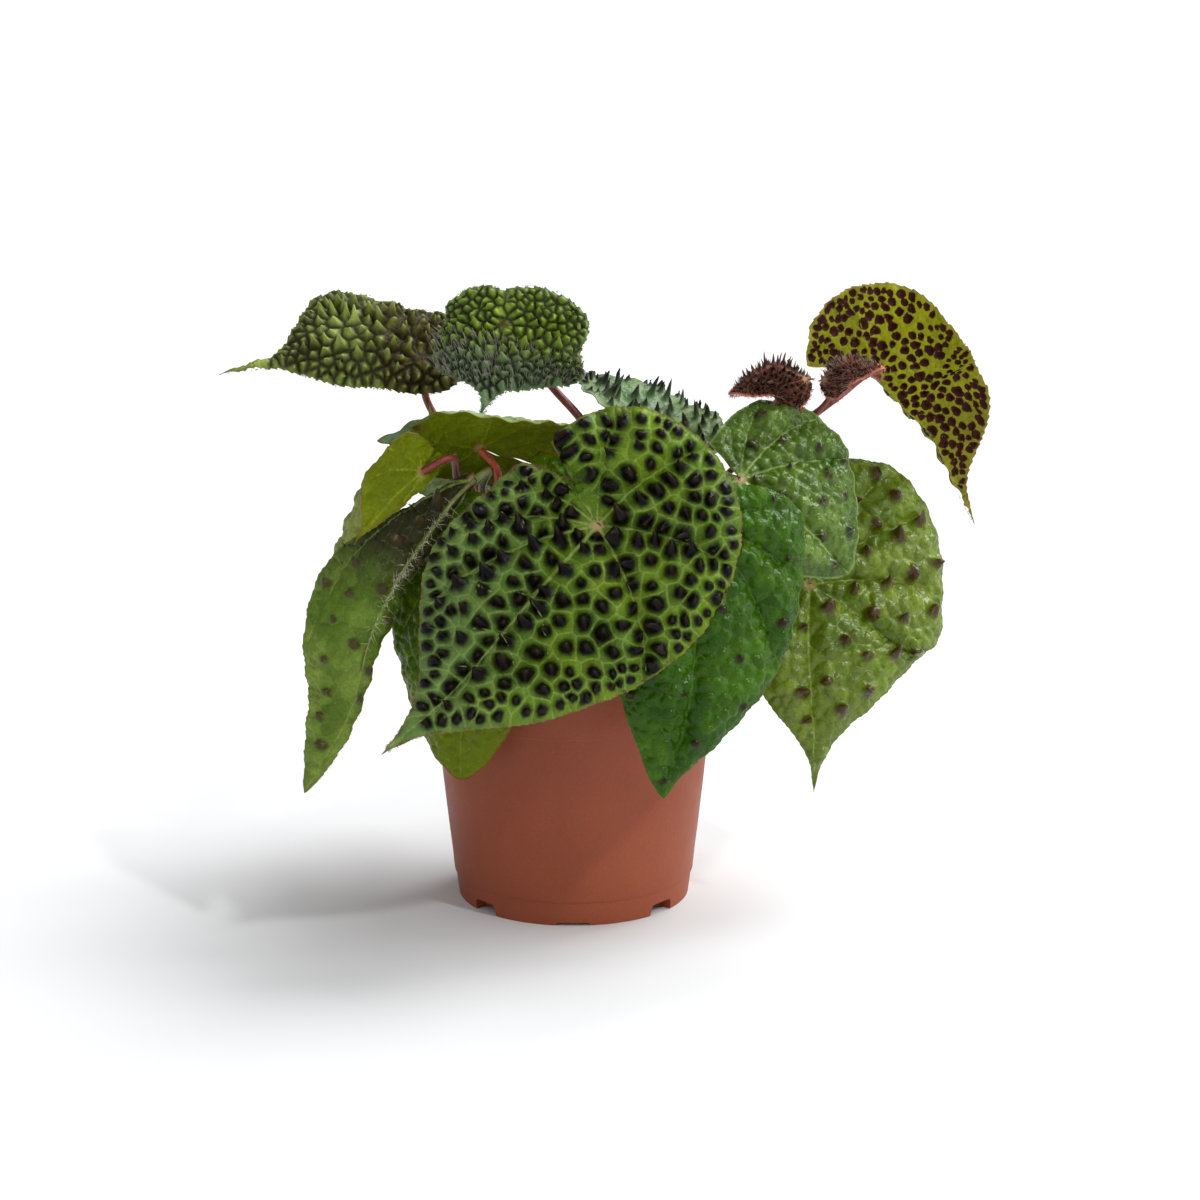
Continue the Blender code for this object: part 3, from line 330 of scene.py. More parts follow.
# Rounded lip, outside to inside: inwards from the rim's radius, down from its top.
LIP = [
    (0.0006, 0.003), (0.0001, 0.0022), (0, 0.0015), (0.0001, 0.0005), (0.0005, 0), (0.0014, 0),
    (0.0018, 0.0006), (0.0020, 0.002),
]

SOIL_TOP = 0.094
SOIL_EDGE_DROP = 0.002
SOIL_EDGE_RADIUS = 0.0566

# Outside of the soil in the pot, top to bottom: radius, height.
SOIL_BODY = [(0.0567, 0.0830), (0.0544, 0.0600), (0.0523, 0.0400), (0.0498, 0.0200), (0.0440, 0.0051)]
GAP = 0.0003                 # clearance of the model's touching pieces
CRUMBS = 900
CRUMB_SIZE_LIMIT = 2.2 * MM
PERLITE_SHARE = 0.05

# -------------------------------------------------------------------- stalks
# Creeping stem, its stalks and the side shoot, as in the model.
RHIZOME = [
    (-0.034, 0.006, 0.0055), (-0.026, 0.003, 0.0075), (-0.014, 0.000, 0.0080), (-0.002, -0.002, 0.0078),
    (0.010, -0.001, 0.0082), (0.022, 0.003, 0.0076), (0.032, 0.007, 0.0060), (0.037, 0.009, 0.0035),
]
PETIOLES = {
    "leaf_front_large": dict(foot=(-0.002, 48), via=[(0.008, -0.034, 0.142), (0.0125, -0.060, 0.164)]),
    "leaf_front_right": dict(foot=(0.009, 48), via=[(0.024, -0.030, 0.134), (0.044, -0.050, 0.162)]),
    "leaf_front_left": dict(foot=(-0.011, 50), via=[(-0.014, -0.022, 0.130), (-0.020, -0.027, 0.154)]),
    "leaf_right_upper": dict(foot=(0.017, 42), via=[(0.040, -0.012, 0.150), (0.060, -0.016, 0.175)]),
    "leaf_right_lower": dict(foot=(0.026, 35), via=[(0.052, -0.008, 0.130), (0.080, -0.008, 0.140)]),
    "leaf_right_top": dict(
        foot=(0.0292, -12), via=[(0.058, 0.018, 0.150), (0.084, 0.011, 0.188), (0.108, 0.009, 0.208)]),
    "leaf_left_hanging": dict(
        foot=(-0.0235, 20), skin="pale", via=[(-0.031, -0.008, 0.150), (-0.0365, -0.018, 0.176)]),
    "leaf_left_top": dict(
        foot=(-0.014, -12), via=[(-0.028, 0.014, 0.144), (-0.045, 0.030, 0.177), (-0.062, 0.040, 0.204)]),
    "leaf_top_middle": dict(
        foot=(0.004, -8), via=[(0.012, 0.010, 0.160), (0.007, 0.012, 0.192), (-0.011, 0.016, 0.214)]),
    "leaf_back_middle": dict(foot=(0.011, -10), via=[(0.018, 0.014, 0.150), (0.028, 0.022, 0.182)]),
    "leaf_left_umbrella": dict(
        foot=(-0.018, 46), skin="orange", via=[(-0.025, -0.012, 0.150), (-0.030, -0.020, 0.174)]),
    "leaf_left_olive": dict(foot=(-0.0285, 22), via=[(-0.040, -0.012, 0.150), (-0.046, -0.025, 0.181)]),
    "leaf_left_small": dict(
        foot=(-0.0184, 2), via=[(-0.034, 0.006, 0.135), (-0.045, 0.006, 0.162)], thick=0.0012),
    "leaf_young_large": dict(
        foot=(0.016, -5), via=[(0.040, 0.004, 0.150), (0.082, 0.003, 0.197)], thick=0.0012),
    "leaf_young_small": dict(
        foot=(0.024, -4), via=[(0.058, 0.012, 0.160), (0.094, 0.002, 0.198)], thick=0.0012),
    "leaf_back_left": dict(foot=(-0.008, -55), via=[(-0.016, 0.026, 0.126), (-0.030, 0.044, 0.148)]),
    "leaf_back_right": dict(foot=(0.008, -55), via=[(0.018, 0.028, 0.126), (0.024, 0.048, 0.153)]),
    "leaf_back_far_right": dict(foot=(0.024, -50), via=[(0.044, 0.022, 0.120), (0.070, 0.026, 0.132)]),
    "leaf_back_far_left": dict(foot=(-0.024, -50), via=[(-0.038, 0.020, 0.114), (-0.056, 0.028, 0.124)]),
}
PETIOLE_THICK = 0.0016
STALK_HAIR_STEP = 0.55 * MM  # length of stalk for each hair
FOOT_GAP = 0.0004
RHIZOME_RINGS = 15
SIDE_SHOOT = [
    (-0.0500, 0.0110, 0.1080), (-0.0650, 0.0080, 0.1190), (-0.0760, 0.0040, 0.1320),
    (-0.0815, 0.0060, 0.1500),
]

# Papery scales: base, length, width, lean (about x, about y).
STIPULES = {
    "stipule_lower": ((-0.0785, 0.0018, 0.1260), 0.014, 0.012, (4, -10)),
    "stipule_upper": ((-0.0800, 0.0040, 0.1480), 0.008, 0.007, (4, -14)),
}

# -------------------------------------------------------------- light, camera
# Soft suns: direction that each comes from, strength, spread in degrees.
SUNS = {
    "key": ((0.50, 0.38, 0.78), 3.5, 44),
    "fill": ((-0.30, -0.85, 0.42), 0.40, 60),
    "spark": ((0.50, -0.50, 0.70), 0.75, 4),
    "side": ((0.94, -0.12, 0.40), 0.9, 45),
}
WORLD_STRENGTH = 0.37
FLOOR_COLOUR = (0.730, 0.74, 0.750, 1.0)
CAMERA_PLACE = (0.011, -1.5, 0.51)
CAMERA_DOWN = 14.4           # degrees
CAMERA_LENS = 112.9          # mm, on a sensor 36 mm wide


# ------------------------------------------------------------------- helpers
def srgb(rgb):
    """Linear colour of three sRGB values of 0 to 255."""
    out = []
    for value in rgb:
        c = value / 255
        out.append(c / 12.92 if c <= 0.04045 else ((c + 0.055) / 1.055) ** 2.4)
    return (*out, 1.0)


def smoothstep(t):
    """0 to 1, eased at both ends and held beyond them."""
    t = np.clip(t, 0, 1)
    return t * t * (3 - 2 * t)


def unit(vectors):
    """The vectors scaled to length 1."""
    return vectors / np.maximum(np.linalg.norm(vectors, axis=-1, keepdims=True), 1e-12)


def spline(points, count):
    """Smooth curve through the points, read at count even steps."""
    pts = np.asarray(points, float)
    last = len(pts) - 1
    ext = np.vstack([2 * pts[0] - pts[1], pts, 2 * pts[-1] - pts[-2]])
    t = np.linspace(0, last, count)
    i = np.minimum(t.astype(int), last - 1)
    u = (t - i)[:, None]
    a, b, c, d = ext[i], ext[i + 1], ext[i + 2], ext[i + 3]
    return 0.5 * (2 * b + (c - a) * u + (2 * a - 5 * b + 4 * c - d) * u ** 2
                  + (3 * b - a - 3 * c + d) * u ** 3)


def run_along(path):
    """Length along a path at each of its points."""
    return np.concatenate([[0.0], np.cumsum(np.linalg.norm(np.diff(path, axis=0), axis=1))])


def route_curve(points, count):
    """Smooth curve through unevenly spaced points, without overshoot."""
    pts = np.asarray(points, float)
    chord = np.linalg.norm(np.diff(pts, axis=0), axis=1)
    knots = run_along(pts)
    slopes = np.diff(pts, axis=0) / chord[:, None]
    tangents = [slopes[0]]
    for k in range(1, len(pts) - 1):
        w = chord[k - 1] + chord[k]
        tangents.append((slopes[k - 1] * chord[k] + slopes[k] * chord[k - 1]) / w)
    tangents.append(slopes[-1])
    out = []
    for t in np.linspace(0, knots[-1], count):
        k = min(int(np.searchsorted(knots, t, side="right")) - 1, len(pts) - 2)
        h = chord[k]
        u = (t - knots[k]) / h
        out.append((2 * u ** 3 - 3 * u ** 2 + 1) * pts[k] + (u ** 3 - 2 * u ** 2 + u) * h * tangents[k]
                   + (3 * u ** 2 - 2 * u ** 3) * pts[k + 1] + (u ** 3 - u ** 2) * h * tangents[k + 1])
    return np.array(out)


def resample(path, step):
    """The path with points at even distances of about step."""
    path = np.asarray(path, float)
    run = run_along(path)
    count = max(2, int(round(run[-1] / step)) + 1)
    at = np.linspace(0, run[-1], count)
    return np.column_stack([np.interp(at, run, path[:, k]) for k in range(path.shape[1])])


def lattice_noise(points, scale, seed):
    """Smooth noise of -1 to 1 at 3-D points, one lump to a length of scale."""
    p = np.asarray(points, float) / scale
    base = np.floor(p).astype(np.int64)
    f = p - base
    f = f * f * (3 - 2 * f)
    total = np.zeros(len(p))
    for corner in product((0, 1), repeat=3):
        h = (base + corner) @ np.array([374761393, 668265263, 2147483647])
        h = (h + seed * 974634777) & 0x7FFFFFFF
        h = ((h ^ (h >> 13)) * 1274126177) & 0x7FFFFFFF
        near = np.where(corner, f, 1 - f)
        total += ((h & 0xFFFF) / 32767.5 - 1) * (near[:, 0] * near[:, 1]) * near[:, 2]
    return total


def inside(points, loop):
    """Which 2-D points lie in the closed loop."""
    x, y = points[:, 0], points[:, 1]
    found = np.zeros(len(points), bool)
    for (x0, y0), (x1, y1) in zip(loop, np.roll(loop, -1, axis=0)):
        if y0 == y1:
            continue
        crossing = ((y0 > y) != (y1 > y)) & (x < (x1 - x0) * (y - y0) / (y1 - y0) + x0)
        found ^= crossing
    return found


def nearest(points, targets):
    """Distance from each 2-D point to the nearest target, and which it is."""
    best = np.empty(len(points))
    which = np.empty(len(points), int)
    for k in range(0, len(points), 4000):
        part = points[k:k + 4000]
        d = (part[:, :1] - targets[None, :, 0]) ** 2 + (part[:, 1:] - targets[None, :, 1]) ** 2
        which[k:k + 4000] = d.argmin(1)
        best[k:k + 4000] = np.sqrt(d.min(1))
    return best, which


def nearest_two(points, targets):
    """Nearest target of each 2-D point, and the distances to it and to its cell's edge."""
    rows = []
    for k in range(0, len(points), 3000):
        part = points[k:k + 3000]
        d = (part[:, :1] - targets[None, :, 0]) ** 2 + (part[:, 1:] - targets[None, :, 1]) ** 2
        order = np.argpartition(d, 4, axis=1)[:, :5]
        close = np.take_along_axis(d, order, 1)
        rank = np.argsort(close, axis=1)
        order, close = np.take_along_axis(order, rank, 1), np.take_along_axis(close, rank, 1)
        apart = np.linalg.norm(targets[order[:, 1:]] - targets[order[:, :1]], axis=2)
        border = (close[:, 1:] - close[:, :1]) / (2 * np.maximum(apart, 1e-9))
        rows.append((order[:, 0], np.sqrt(close[:, 0]), border.min(1)))
    return [np.concatenate(column) for column in zip(*rows)]


def new_object(name, data):
    """An object in the scene."""
    obj = bpy.data.objects.new(name, data)
    bpy.context.scene.collection.objects.link(obj)
    return obj


def mesh_object(name, verts, faces, mat, sharp=70.0):
    """A smooth-shaded object with creases at edges sharper than so many degrees."""
    mesh = bpy.data.meshes.new(name)
    mesh.from_pydata([tuple(v) for v in verts], [], faces)
    mesh.validate()
    mesh.materials.append(mat)
    mesh.shade_smooth()
    mesh.set_sharp_from_angle(angle=math.radians(sharp))
    return new_object(name, mesh)


def set_attribute(obj, name, values):
    """Gives the points of a mesh a number or a vector each, for its material."""
    values = np.asarray(values, np.float32)
    kind = "FLOAT_VECTOR" if values.ndim == 2 else "FLOAT"
    layer = obj.data.attributes.new(name, kind, "POINT")
    layer.data.foreach_set("vector" if values.ndim == 2 else "value", values.ravel())


# ------------------------------------------------------------------ materials
class Graph:
    """Short calls for the shader nodes of one material."""

    def __init__(self, name, roughness=0.5, coat=0.0):
        self.mat = bpy.data.materials.new(name)
        self.mat.use_nodes = True
        self.nodes = self.mat.node_tree.nodes
        self.links = self.mat.node_tree.links
        self.shader = self.nodes["Principled BSDF"]
        self.shader.inputs["Roughness"].default_value = roughness
        self.shader.inputs["Coat Weight"].default_value = coat
        self.shader.inputs["Coat Roughness"].default_value = 0.18

    def put(self, socket, value):
        if isinstance(value, bpy.types.NodeSocket):
            self.links.new(value, socket)
        else:
            socket.default_value = value

    def node(self, kind, inputs, **settings):
        """A new node with its settings and inputs; gives its outputs."""
        node = self.nodes.new("ShaderNode" + kind)
        for key, value in settings.items():
            setattr(node, key, value)
        for key, value in inputs.items():
            self.put(node.inputs[key], value)
        return node.outputs

    def attribute(self, name, output="Fac"):
        return self.node("Attribute", {}, attribute_name=name)[output]

    def noise(self, scale, detail=3.0):
        where = self.node("TexCoord", {})["Object"]
        return self.node("TexNoise", {"Vector": where, "Scale": scale, "Detail": detail})["Fac"]

    def cells(self, scale, vector):
        """Distance to the edge of the cell that vector lies in."""
        inputs = {"Vector": vector, "Scale": scale}
        return self.node("TexVoronoi", inputs, feature="DISTANCE_TO_EDGE")["Distance"]

    def math(self, operation, a, b):
        return self.node("Math", {0: a, 1: b}, operation=operation)[0]

    def times(self, a, b):
        return self.math("MULTIPLY", a, b)

    def plus(self, a, b):
        return self.math("ADD", a, b)

    def span(self, value, low, high, start=0.0, end=1.0):
        """value read from low to high as start to end, eased and held beyond them."""
        inputs = {"Value": value, "From Min": low, "From Max": high, "To Min": start, "To Max": end}
        return self.node("MapRange", inputs, interpolation_type="SMOOTHSTEP")["Result"]

    def mix(self, share, a, b, blend="MIX"):
        return self.node("Mix", {0: share, 6: a, 7: b}, data_type="RGBA", blend_type=blend)[2]

    def paint(self, share, under, rgb):
        """The colour under, covered by an sRGB colour where share is 1."""
        return self.mix(share, under, srgb(rgb))

    def mottle(self, value, rgb_a, rgb_b, low=0.3, high=0.7):
        """Patches of two sRGB colours."""
        return self.mix(self.span(value, low, high), srgb(rgb_a), srgb(rgb_b))

    def shade(self, share, colour):
        """colour multiplied by a grey of share."""
        return self.mix(1.0, colour, share, "MULTIPLY")

    def bump(self, height, distance, strength=1.0):
        inputs = {"Height": height, "Distance": distance, "Strength": strength}
        self.put(self.shader.inputs["Normal"], self.node("Bump", inputs)["Normal"])

    def colour(self, value):
        self.put(self.shader.inputs["Base Color"], value)


def blade_material(name, look, zone_colour, zone_share):
    """Upper face with cones, seams and veins, lower face with pits, rim and stalk end; some looks and zone
    tints paint light, shade and sheen, as noted at each step.
    """
    g = Graph(name + "_finish", look["rough"])
    g.shader.inputs["Specular IOR Level"].default_value = look["shine"]
    core, main, spiky, tone = (g.attribute(key) for key in ("core", "main", "spiky", "tone"))
    zone = g.attribute("zone")
    grain, patch = g.noise(900, 4.0), g.noise(38, 2.0)
    speckle = g.math("SUBTRACT", g.noise(420, 3.0), 0.5)
    blot = g.plus(g.times(core, 0.45), g.times(g.attribute("disc"), 0.55))
    ragged = g.plus(blot, g.times(speckle, look["rough_edge"]))
    ragged = g.math("SUBTRACT", ragged, g.times(tone, look["uneven"]))

    upper = g.mottle(patch, look["green"], look["green2"], 0.35, 0.65)
    upper = g.shade(g.span(tone, 0.0, 1.0, 0.78, 1.12), upper)
    upper = g.shade(g.span(grain, 0.3, 0.7, 0.86, 1.12), upper)
    # Zone tint: painted sheen on the large front blade, partly painted shade on the hanging blade's base, the
    # blade's own colour on the others.
    upper = g.paint(g.times(zone, zone_share), upper, zone_colour)
    ring = g.times(g.span(ragged, 0.0, look["ring_to"]), spiky)
    upper = g.paint(g.times(ring, look["ring_share"]), upper, look["ring"])
    # Cell middles take the cone colour: the dark cones, and in the bullate and bristly looks the light dome
    # tops, which are painted light.
    tops = g.mix(zone, srgb(look["cone"]), srgb(look.get("zone_cone", look["cone"])))
    upper = g.mix(g.times(g.span(ragged, look["dark_from"], look["dark_to"]), spiky), upper, tops)
    peak = g.plus(g.attribute("peak"), g.times(speckle, 0.5))
    upper = g.paint(g.span(peak, 0.12, 0.62, 0.0, 0.9), upper, look["cone"])
    # The tip colour lightens the cone apex: a painted highlight in the studded look, paler spine tips in the
    # young look.
    if "tip" in look:
        upper = g.paint(g.times(g.span(core, 0.62, 0.95), spiky), upper, look["tip"])
    # The net colour paints the vein net; in the bullate and bristly looks it is dark, painted shade in the
    # hollows between the domes.
    seam = g.plus(g.attribute("seam"), g.times(speckle, 0.3))
    net = g.math("SUBTRACT", 1.0, g.span(seam, 0.0, look["net_width"]))
    upper = g.paint(g.times(net, look["net_share"]), upper, look["net"])
    upper = g.paint(g.times(g.span(main, 0.25, 0.9), 0.9), upper, look["net"])

    lower = g.mottle(patch, look["under"], [0.86 * c for c in look["under"]], 0.35, 0.65)
    lower = g.shade(g.span(grain, 0.3, 0.7, 0.88, 1.1), lower)
    # The same zone tint on the lower face, with the painted sheen and shade noted above.
    lower = g.paint(g.times(zone, zone_share), lower, zone_colour)
    lower = g.paint(g.times(g.span(ragged, look["pit_from"], look["pit_to"]), spiky), lower, look["pit"])
    lower = g.paint(g.times(g.span(main, 0.1, 0.7), 0.7), lower, look["net"])

    both = g.mix(g.attribute("under"), upper, lower)
    both = g.paint(g.times(g.span(g.attribute("rim"), 0.35, 1.0), look["rim_share"]), both, look["rim"])
    g.colour(g.paint(g.times(g.attribute("hub"), 0.8), both, look["hub"]))
    wrinkle = g.span(g.cells(430, g.attribute("flat", "Vector")), 0.0, 0.35)
    g.bump(g.plus(g.times(wrinkle, look["fine"]), g.times(grain, 0.12)), 0.0009)
    return g.mat


# --------------------------------------------------------------------- leaves
class Leaf:
    """A lopsided heart-shaped blade laid along a midrib curve in space."""

    def __init__(self, name):
        self.shape = shape = PLAIN_LEAF | LEAVES[name]
        self.curve = curve = spline(shape["midrib"], 181)
        self.run = run_along(curve)
        self.length = float(self.run[-1])
        self.along = unit(np.gradient(curve, axis=0))
        up = np.asarray(shape["up"], float)
        up = up - self.along * (self.along @ up)[:, None]
        self.up = unit(up)
        self.left = np.cross(self.up, self.along)
        self.width = shape["width"]
        self.lobe = shape["lobe"]
        self.fold = np.radians(shape["fold"])
        self.curl = np.radians(shape["curl"])
        self.lobe_curl = np.radians(sum(shape["curl"]) / 2)
        self.wrap = math.radians(shape["wrap"])
        self.close = np.radians(shape["close"])
        self.blunt = shape["blunt"]
        self.humped = shape["humped"]
        self.neck = shape["neck"]
        self.arrive = shape["arrive"]
        self.seat = shape["seat"]
        ends = [self.outline(side, 20)[-1] for side in (1, -1)]
        self.notch = sum(math.atan2(y, x) % (2 * math.pi) for x, y in ends) / 2

    def outline(self, side, count):
        """Edge of one side in flat leaf coordinates, tip first."""
        k = 0 if side > 0 else 1
        other = SIDE_HUMPED if self.humped[k] else SIDE_BLUNT if self.blunt[k] >= 0 else SIDE_TAILED
        b = abs(self.blunt[k])
        points = []
        for (x0, y0), (x1, y1) in zip(SIDE_POINTED, other):
            points.append(((x0 + (x1 - x0) * b) * self.length, (y0 + (y1 - y0) * b) * self.width[k]))
        hidden = 2 if self.lobe[k] < NO_LOBE else 0
        for x, y in LOBE[hidden:]:
            points.append((x * self.lobe[k], y * self.width[k]))
        edge = spline(points, count)
        edge[:, 1] = np.maximum(edge[:, 1], 0.0)
        edge[:, 1] *= 1 - self.neck[k] * (1 - smoothstep(edge[:, 0] / (0.5 * self.length)))
        radius = np.hypot(edge[:, 0], edge[:, 1])
        angle = np.arctan2(edge[:, 1], edge[:, 0])
        behind = smoothstep((angle - math.radians(60)) / math.radians(120))
        angle = angle + (self.wrap * side + self.close[k]) * behind
        return np.column_stack([radius * np.cos(angle), side * radius * np.sin(angle)])

    def place(self, x, y, side):
        """World point of flat leaf coordinates: x along the midrib, y off it."""
        k = 0 if side > 0 else 1
        index = np.interp(np.clip(x, 0, self.length), self.run, np.arange(len(self.run)))
        low = np.minimum(index.astype(int), len(self.run) - 2)
        mix = (index - low)[..., None]
        centre = self.curve[low] * (1 - mix) + self.curve[low + 1] * mix
        along = unit(self.along[low] * (1 - mix) + self.along[low + 1] * mix)
        up = unit(self.up[low] * (1 - mix) + self.up[low + 1] * mix)
        left = unit(self.left[low] * (1 - mix) + self.left[low + 1] * mix)
        longest = max(*self.lobe, 0.4 * max(self.width))
        back = np.maximum(-x, 0.0)
        centre = centre - along * back[..., None]
        f = smoothstep(back / longest)
        width = self.width[k] * (1 - f) + max(self.width) * f
        fold = self.fold[k] * (1 - f) + float(np.mean(self.fold)) * f
        fold = fold * smoothstep((1 - x / self.length) / 0.3)
        curl = self.curl[k] * (1 - f) + self.lobe_curl * f
        curl = np.where(np.abs(curl) < 1e-4, 1e-4, curl)
        t = y / width
        across = width / curl * (np.sin(fold + curl * t) - np.sin(fold))
        drop = width / curl * (np.cos(fold) - np.cos(fold + curl * t))
        return centre + left * (side * across)[..., None] - up * drop[..., None]

    def lay(self, flat):
        """World points of flat (x, s), where s is positive to the left."""
        angle = np.mod(np.arctan2(flat[:, 1], flat[:, 0]), 2 * math.pi)
        left = angle < self.notch
        out = np.empty((len(flat), 3))
        out[left] = self.place(flat[left, 0], flat[left, 1], 1)
        out[~left] = self.place(flat[~left, 0], -flat[~left, 1], -1)
        return out

    def stalk_seat(self):
        """Where the stalk ends just under the blade, and its direction there."""
        arrive = unit(self.up[0] * self.arrive[0] + self.along[0] * self.arrive[1])
        seat = self.curve[0] - self.up[0] * (LEAF_THICKNESS / 2 + 0.0003) - arrive * self.seat
        return seat, arrive


def toothed_side(leaf, side, look, rng):
    """One side of the margin with small forward teeth and shallow waves."""
    edge = resample(leaf.outline(side, 400), MARGIN_STEP)
    run = np.arange(len(edge)) * MARGIN_STEP
    ahead = np.gradient(edge, axis=0)
    out = unit(np.column_stack([-ahead[:, 1], ahead[:, 0]]))
    if np.dot(out[len(out) // 2], edge[len(edge) // 2]) < 0:
        out = -out
    total = run[-1]
    fade = smoothstep(run / (0.10 * total)) * smoothstep((total - run) / (0.06 * total))
    knots = np.cumsum(rng.uniform(0.7, 1.3, int(total / TOOTH_PITCH) + 4)) * TOOTH_PITCH
    phase = np.interp(run, knots, np.arange(len(knots)))
    tooth = (phase % 1.0) ** 1.6 - 0.5
    wave = np.interp(run, np.linspace(0, total, 15), rng.normal(0, 0.6, 15))
    offset = (look["tooth"] * tooth + 0.8 * look["ruffle"] * wave) * MM * fade
    return edge + out * offset[:, None]


def margin_loop(leaf, look, rng):
    """Closed flat outline: tip, left side, stalk, right side and back."""
    left = resample(toothed_side(leaf, 1, look, rng), look["step"] * MM * 0.8)
    right = resample(toothed_side(leaf, -1, look, rng), look["step"] * MM * 0.8)
    stalk = (0.0, 0.0)
    into = resample([left[-1], stalk], look["step"] * MM)[1:]
    out_of = resample([stalk, right[-1]], look["step"] * MM)[1:-1]
    return np.vstack([left, into, out_of, right[::-1][:-1]])


# Main veins of a side: share of the margin's length where each ends, width.
MAIN_VEINS = ((0.38, 0.95), (0.58, 0.85), (0.76, 0.70), (0.89, 0.48))
MIDRIB_BRANCHES = (0.30, 0.45, 0.60, 0.74, 0.86)
VEIN_BRANCHES = (0.38, 0.58, 0.76)


def turned(vector, angle):
    """A flat vector turned to the left."""
    c, s = math.cos(angle), math.sin(angle)
    return np.array([vector[0] * c - vector[1] * s, vector[0] * s + vector[1] * c])


def vein_lines(leaf, rng):
    """Main veins from the stalk, and their branches: (flat points, width)."""
    lines = [(resample([(0, 0), (leaf.length * 0.985, 0)], 2 * MM), 1.0)]
    mains = []
    for side in (1, -1):
        edge = resample(leaf.outline(side, 300), MM)
        for share, width in MAIN_VEINS:
            end = edge[int(share * (len(edge) - 1))] * 0.94
            reach = np.linalg.norm(end)
            if reach < 8 * MM:
                continue
            ctrl = turned(end, math.radians(14) * side) * 0.55
            t = np.linspace(0, 1, 24)[:, None]
            path = 2 * t * (1 - t) * ctrl + t ** 2 * end
            mains.append((path, reach))
            lines.append((path, width))
    for side in (1, -1):
        for share in MIDRIB_BRANCHES:
            start = np.array([leaf.length * share, 0.0])
            reach = (1 - share) * 0.62 * leaf.width[0 if side > 0 else 1]
            end = start + reach * np.array([0.75, side * 0.85])
            bow = (start + end) / 2 + np.array([-0.06, side * 0.10]) * reach
            t = np.linspace(0, 1, 10)[:, None]
            lines.append(((1 - t) ** 2 * start + 2 * t * (1 - t) * bow + t ** 2 * end, 0.40))
    for path, reach in mains:
        for share in VEIN_BRANCHES:
            k = int(share * (len(path) - 1))
            heading = unit(path[k + 1] - path[k])
            for turn in (-0.75, 0.75):
                far = path[k] + turned(heading, turn) * reach * (1 - share) * rng.uniform(0.38, 0.55)
                t = np.linspace(0, 1, 8)[:, None]
                bow = path[k] * (1 - t) + far * t + heading * (t * (1 - t)) * reach * 0.08
                lines.append((bow, 0.30))
    return lines


def vein_field(points, lines, bold=1.0):
    """Closeness to the veins (1 on one, 0 past its edge) and distance to the main ones."""
    close = np.zeros(len(points))
    apart = np.full(len(points), 1.0)
    for path, width in lines:
        path = resample(path, 0.8 * MM)
        d, k = nearest(points, path)
        taper = 1 - 0.6 * k / max(len(path) - 1, 1)
        half = width * 1.05 * MM * taper * bold
        close = np.maximum(close, np.clip(1 - d / half, 0, 1) * min(1.0, 0.45 + width))
        if width > 0.42:
            apart = np.minimum(apart, d + (1 - taper) * MM)
    return close, apart


def scatter(loop, lines, count, rng):
    """Random points on the flat blade, and their distances to its margin and main veins."""
    tries = rng.uniform(loop.min(0), loop.max(0), (count, 2))
    tries = tries[inside(tries, loop)]
    return tries, nearest(tries, loop)[0], vein_field(tries, lines)[1]


def thinned(tries, gaps):
    """The points that keep their gap from all those taken before them."""
    chosen = np.empty((0, 2))
    for point, gap in zip(tries, gaps):
        if len(chosen) == 0 or ((chosen - point) ** 2).sum(1).min() > gap * gap:
            chosen = np.vstack([chosen, point])
    return chosen


def peak_centres(loop, lines, gap, reach, rng):
    """Feet of the large cones, in the middle between the main veins."""
    tries, rim, main = scatter(loop, lines, 6000, rng)
    tries = tries[(rim > reach * 1.3) & (main > reach * 0.7)]
    return thinned(tries, [gap] * len(tries))


def cell_centres(loop, lines, look, rng):
    """Cell middles of the vein net, closer together near the margin."""
    tries, rim, main = scatter(loop, lines, 26000, rng)
    base, spread = look["cell"] * MM, look["spread"]
    spacing = base * (0.58 + 0.42 * smoothstep(rim / (2.6 * base)))
    spacing = spacing * rng.uniform(1 - spread, 1 + spread, len(tries))
    keep = (rim > look["margin"] * base) & (main > 0.27 * base)
    return thinned(tries[keep], spacing[keep])


def blade_points(loop, centres, radius, spiky, look, rng):
    """Flat mesh points: margin, rings round the cones, and a filling lattice."""
    step = look["step"] * MM
    low, high = loop.min(0), loop.max(0)
    rings = [centres]
    for share, count in ((0.13, 6), (0.30, 9), (0.50, 12)):
        for c, r, s in zip(centres, radius, spiky):
            if s < 0.5:
                continue
            a = np.arange(count) * 2 * math.pi / count + share * 9
            rings.append(c + r * share * np.column_stack([np.cos(a), np.sin(a)]))
    rings = np.vstack(rings)
    cols = int((high[0] - low[0]) / step) + 2
    rows = int((high[1] - low[1]) / (step * 0.866)) + 2
    gx, gy = np.meshgrid(np.arange(cols), np.arange(rows))
    gx, gy = gx.ravel(), gy.ravel()
    grid = np.column_stack([(gx + 0.5 * (gy % 2)) * step + low[0], gy * step * 0.866 + low[1]])
    grid = grid + rng.uniform(-0.16, 0.16, grid.shape) * step
    fine = rings[inside(rings, loop)]
    grid = grid[inside(grid, loop)]
    bin_size = step * 0.62
    taken = {(int(x / bin_size), int(y / bin_size)) for x, y in fine - low}
    bins = ((grid - low) / bin_size).astype(int)
    free = np.array([(bx, by) not in taken for bx, by in bins])
    grid = grid[free]
    points = np.vstack([fine, grid])
    rim, _ = nearest(points, loop)
    return points[rim > 0.42 * step]


def surface_normals(points, faces):
    """Unit normals of a triangle mesh at its points."""
    corner = points[faces]
    cross = np.cross(corner[:, 1] - corner[:, 0], corner[:, 2] - corner[:, 0])
    total = np.zeros_like(points)
    for k in range(3):
        np.add.at(total, faces[:, k], cross)
    return unit(total)


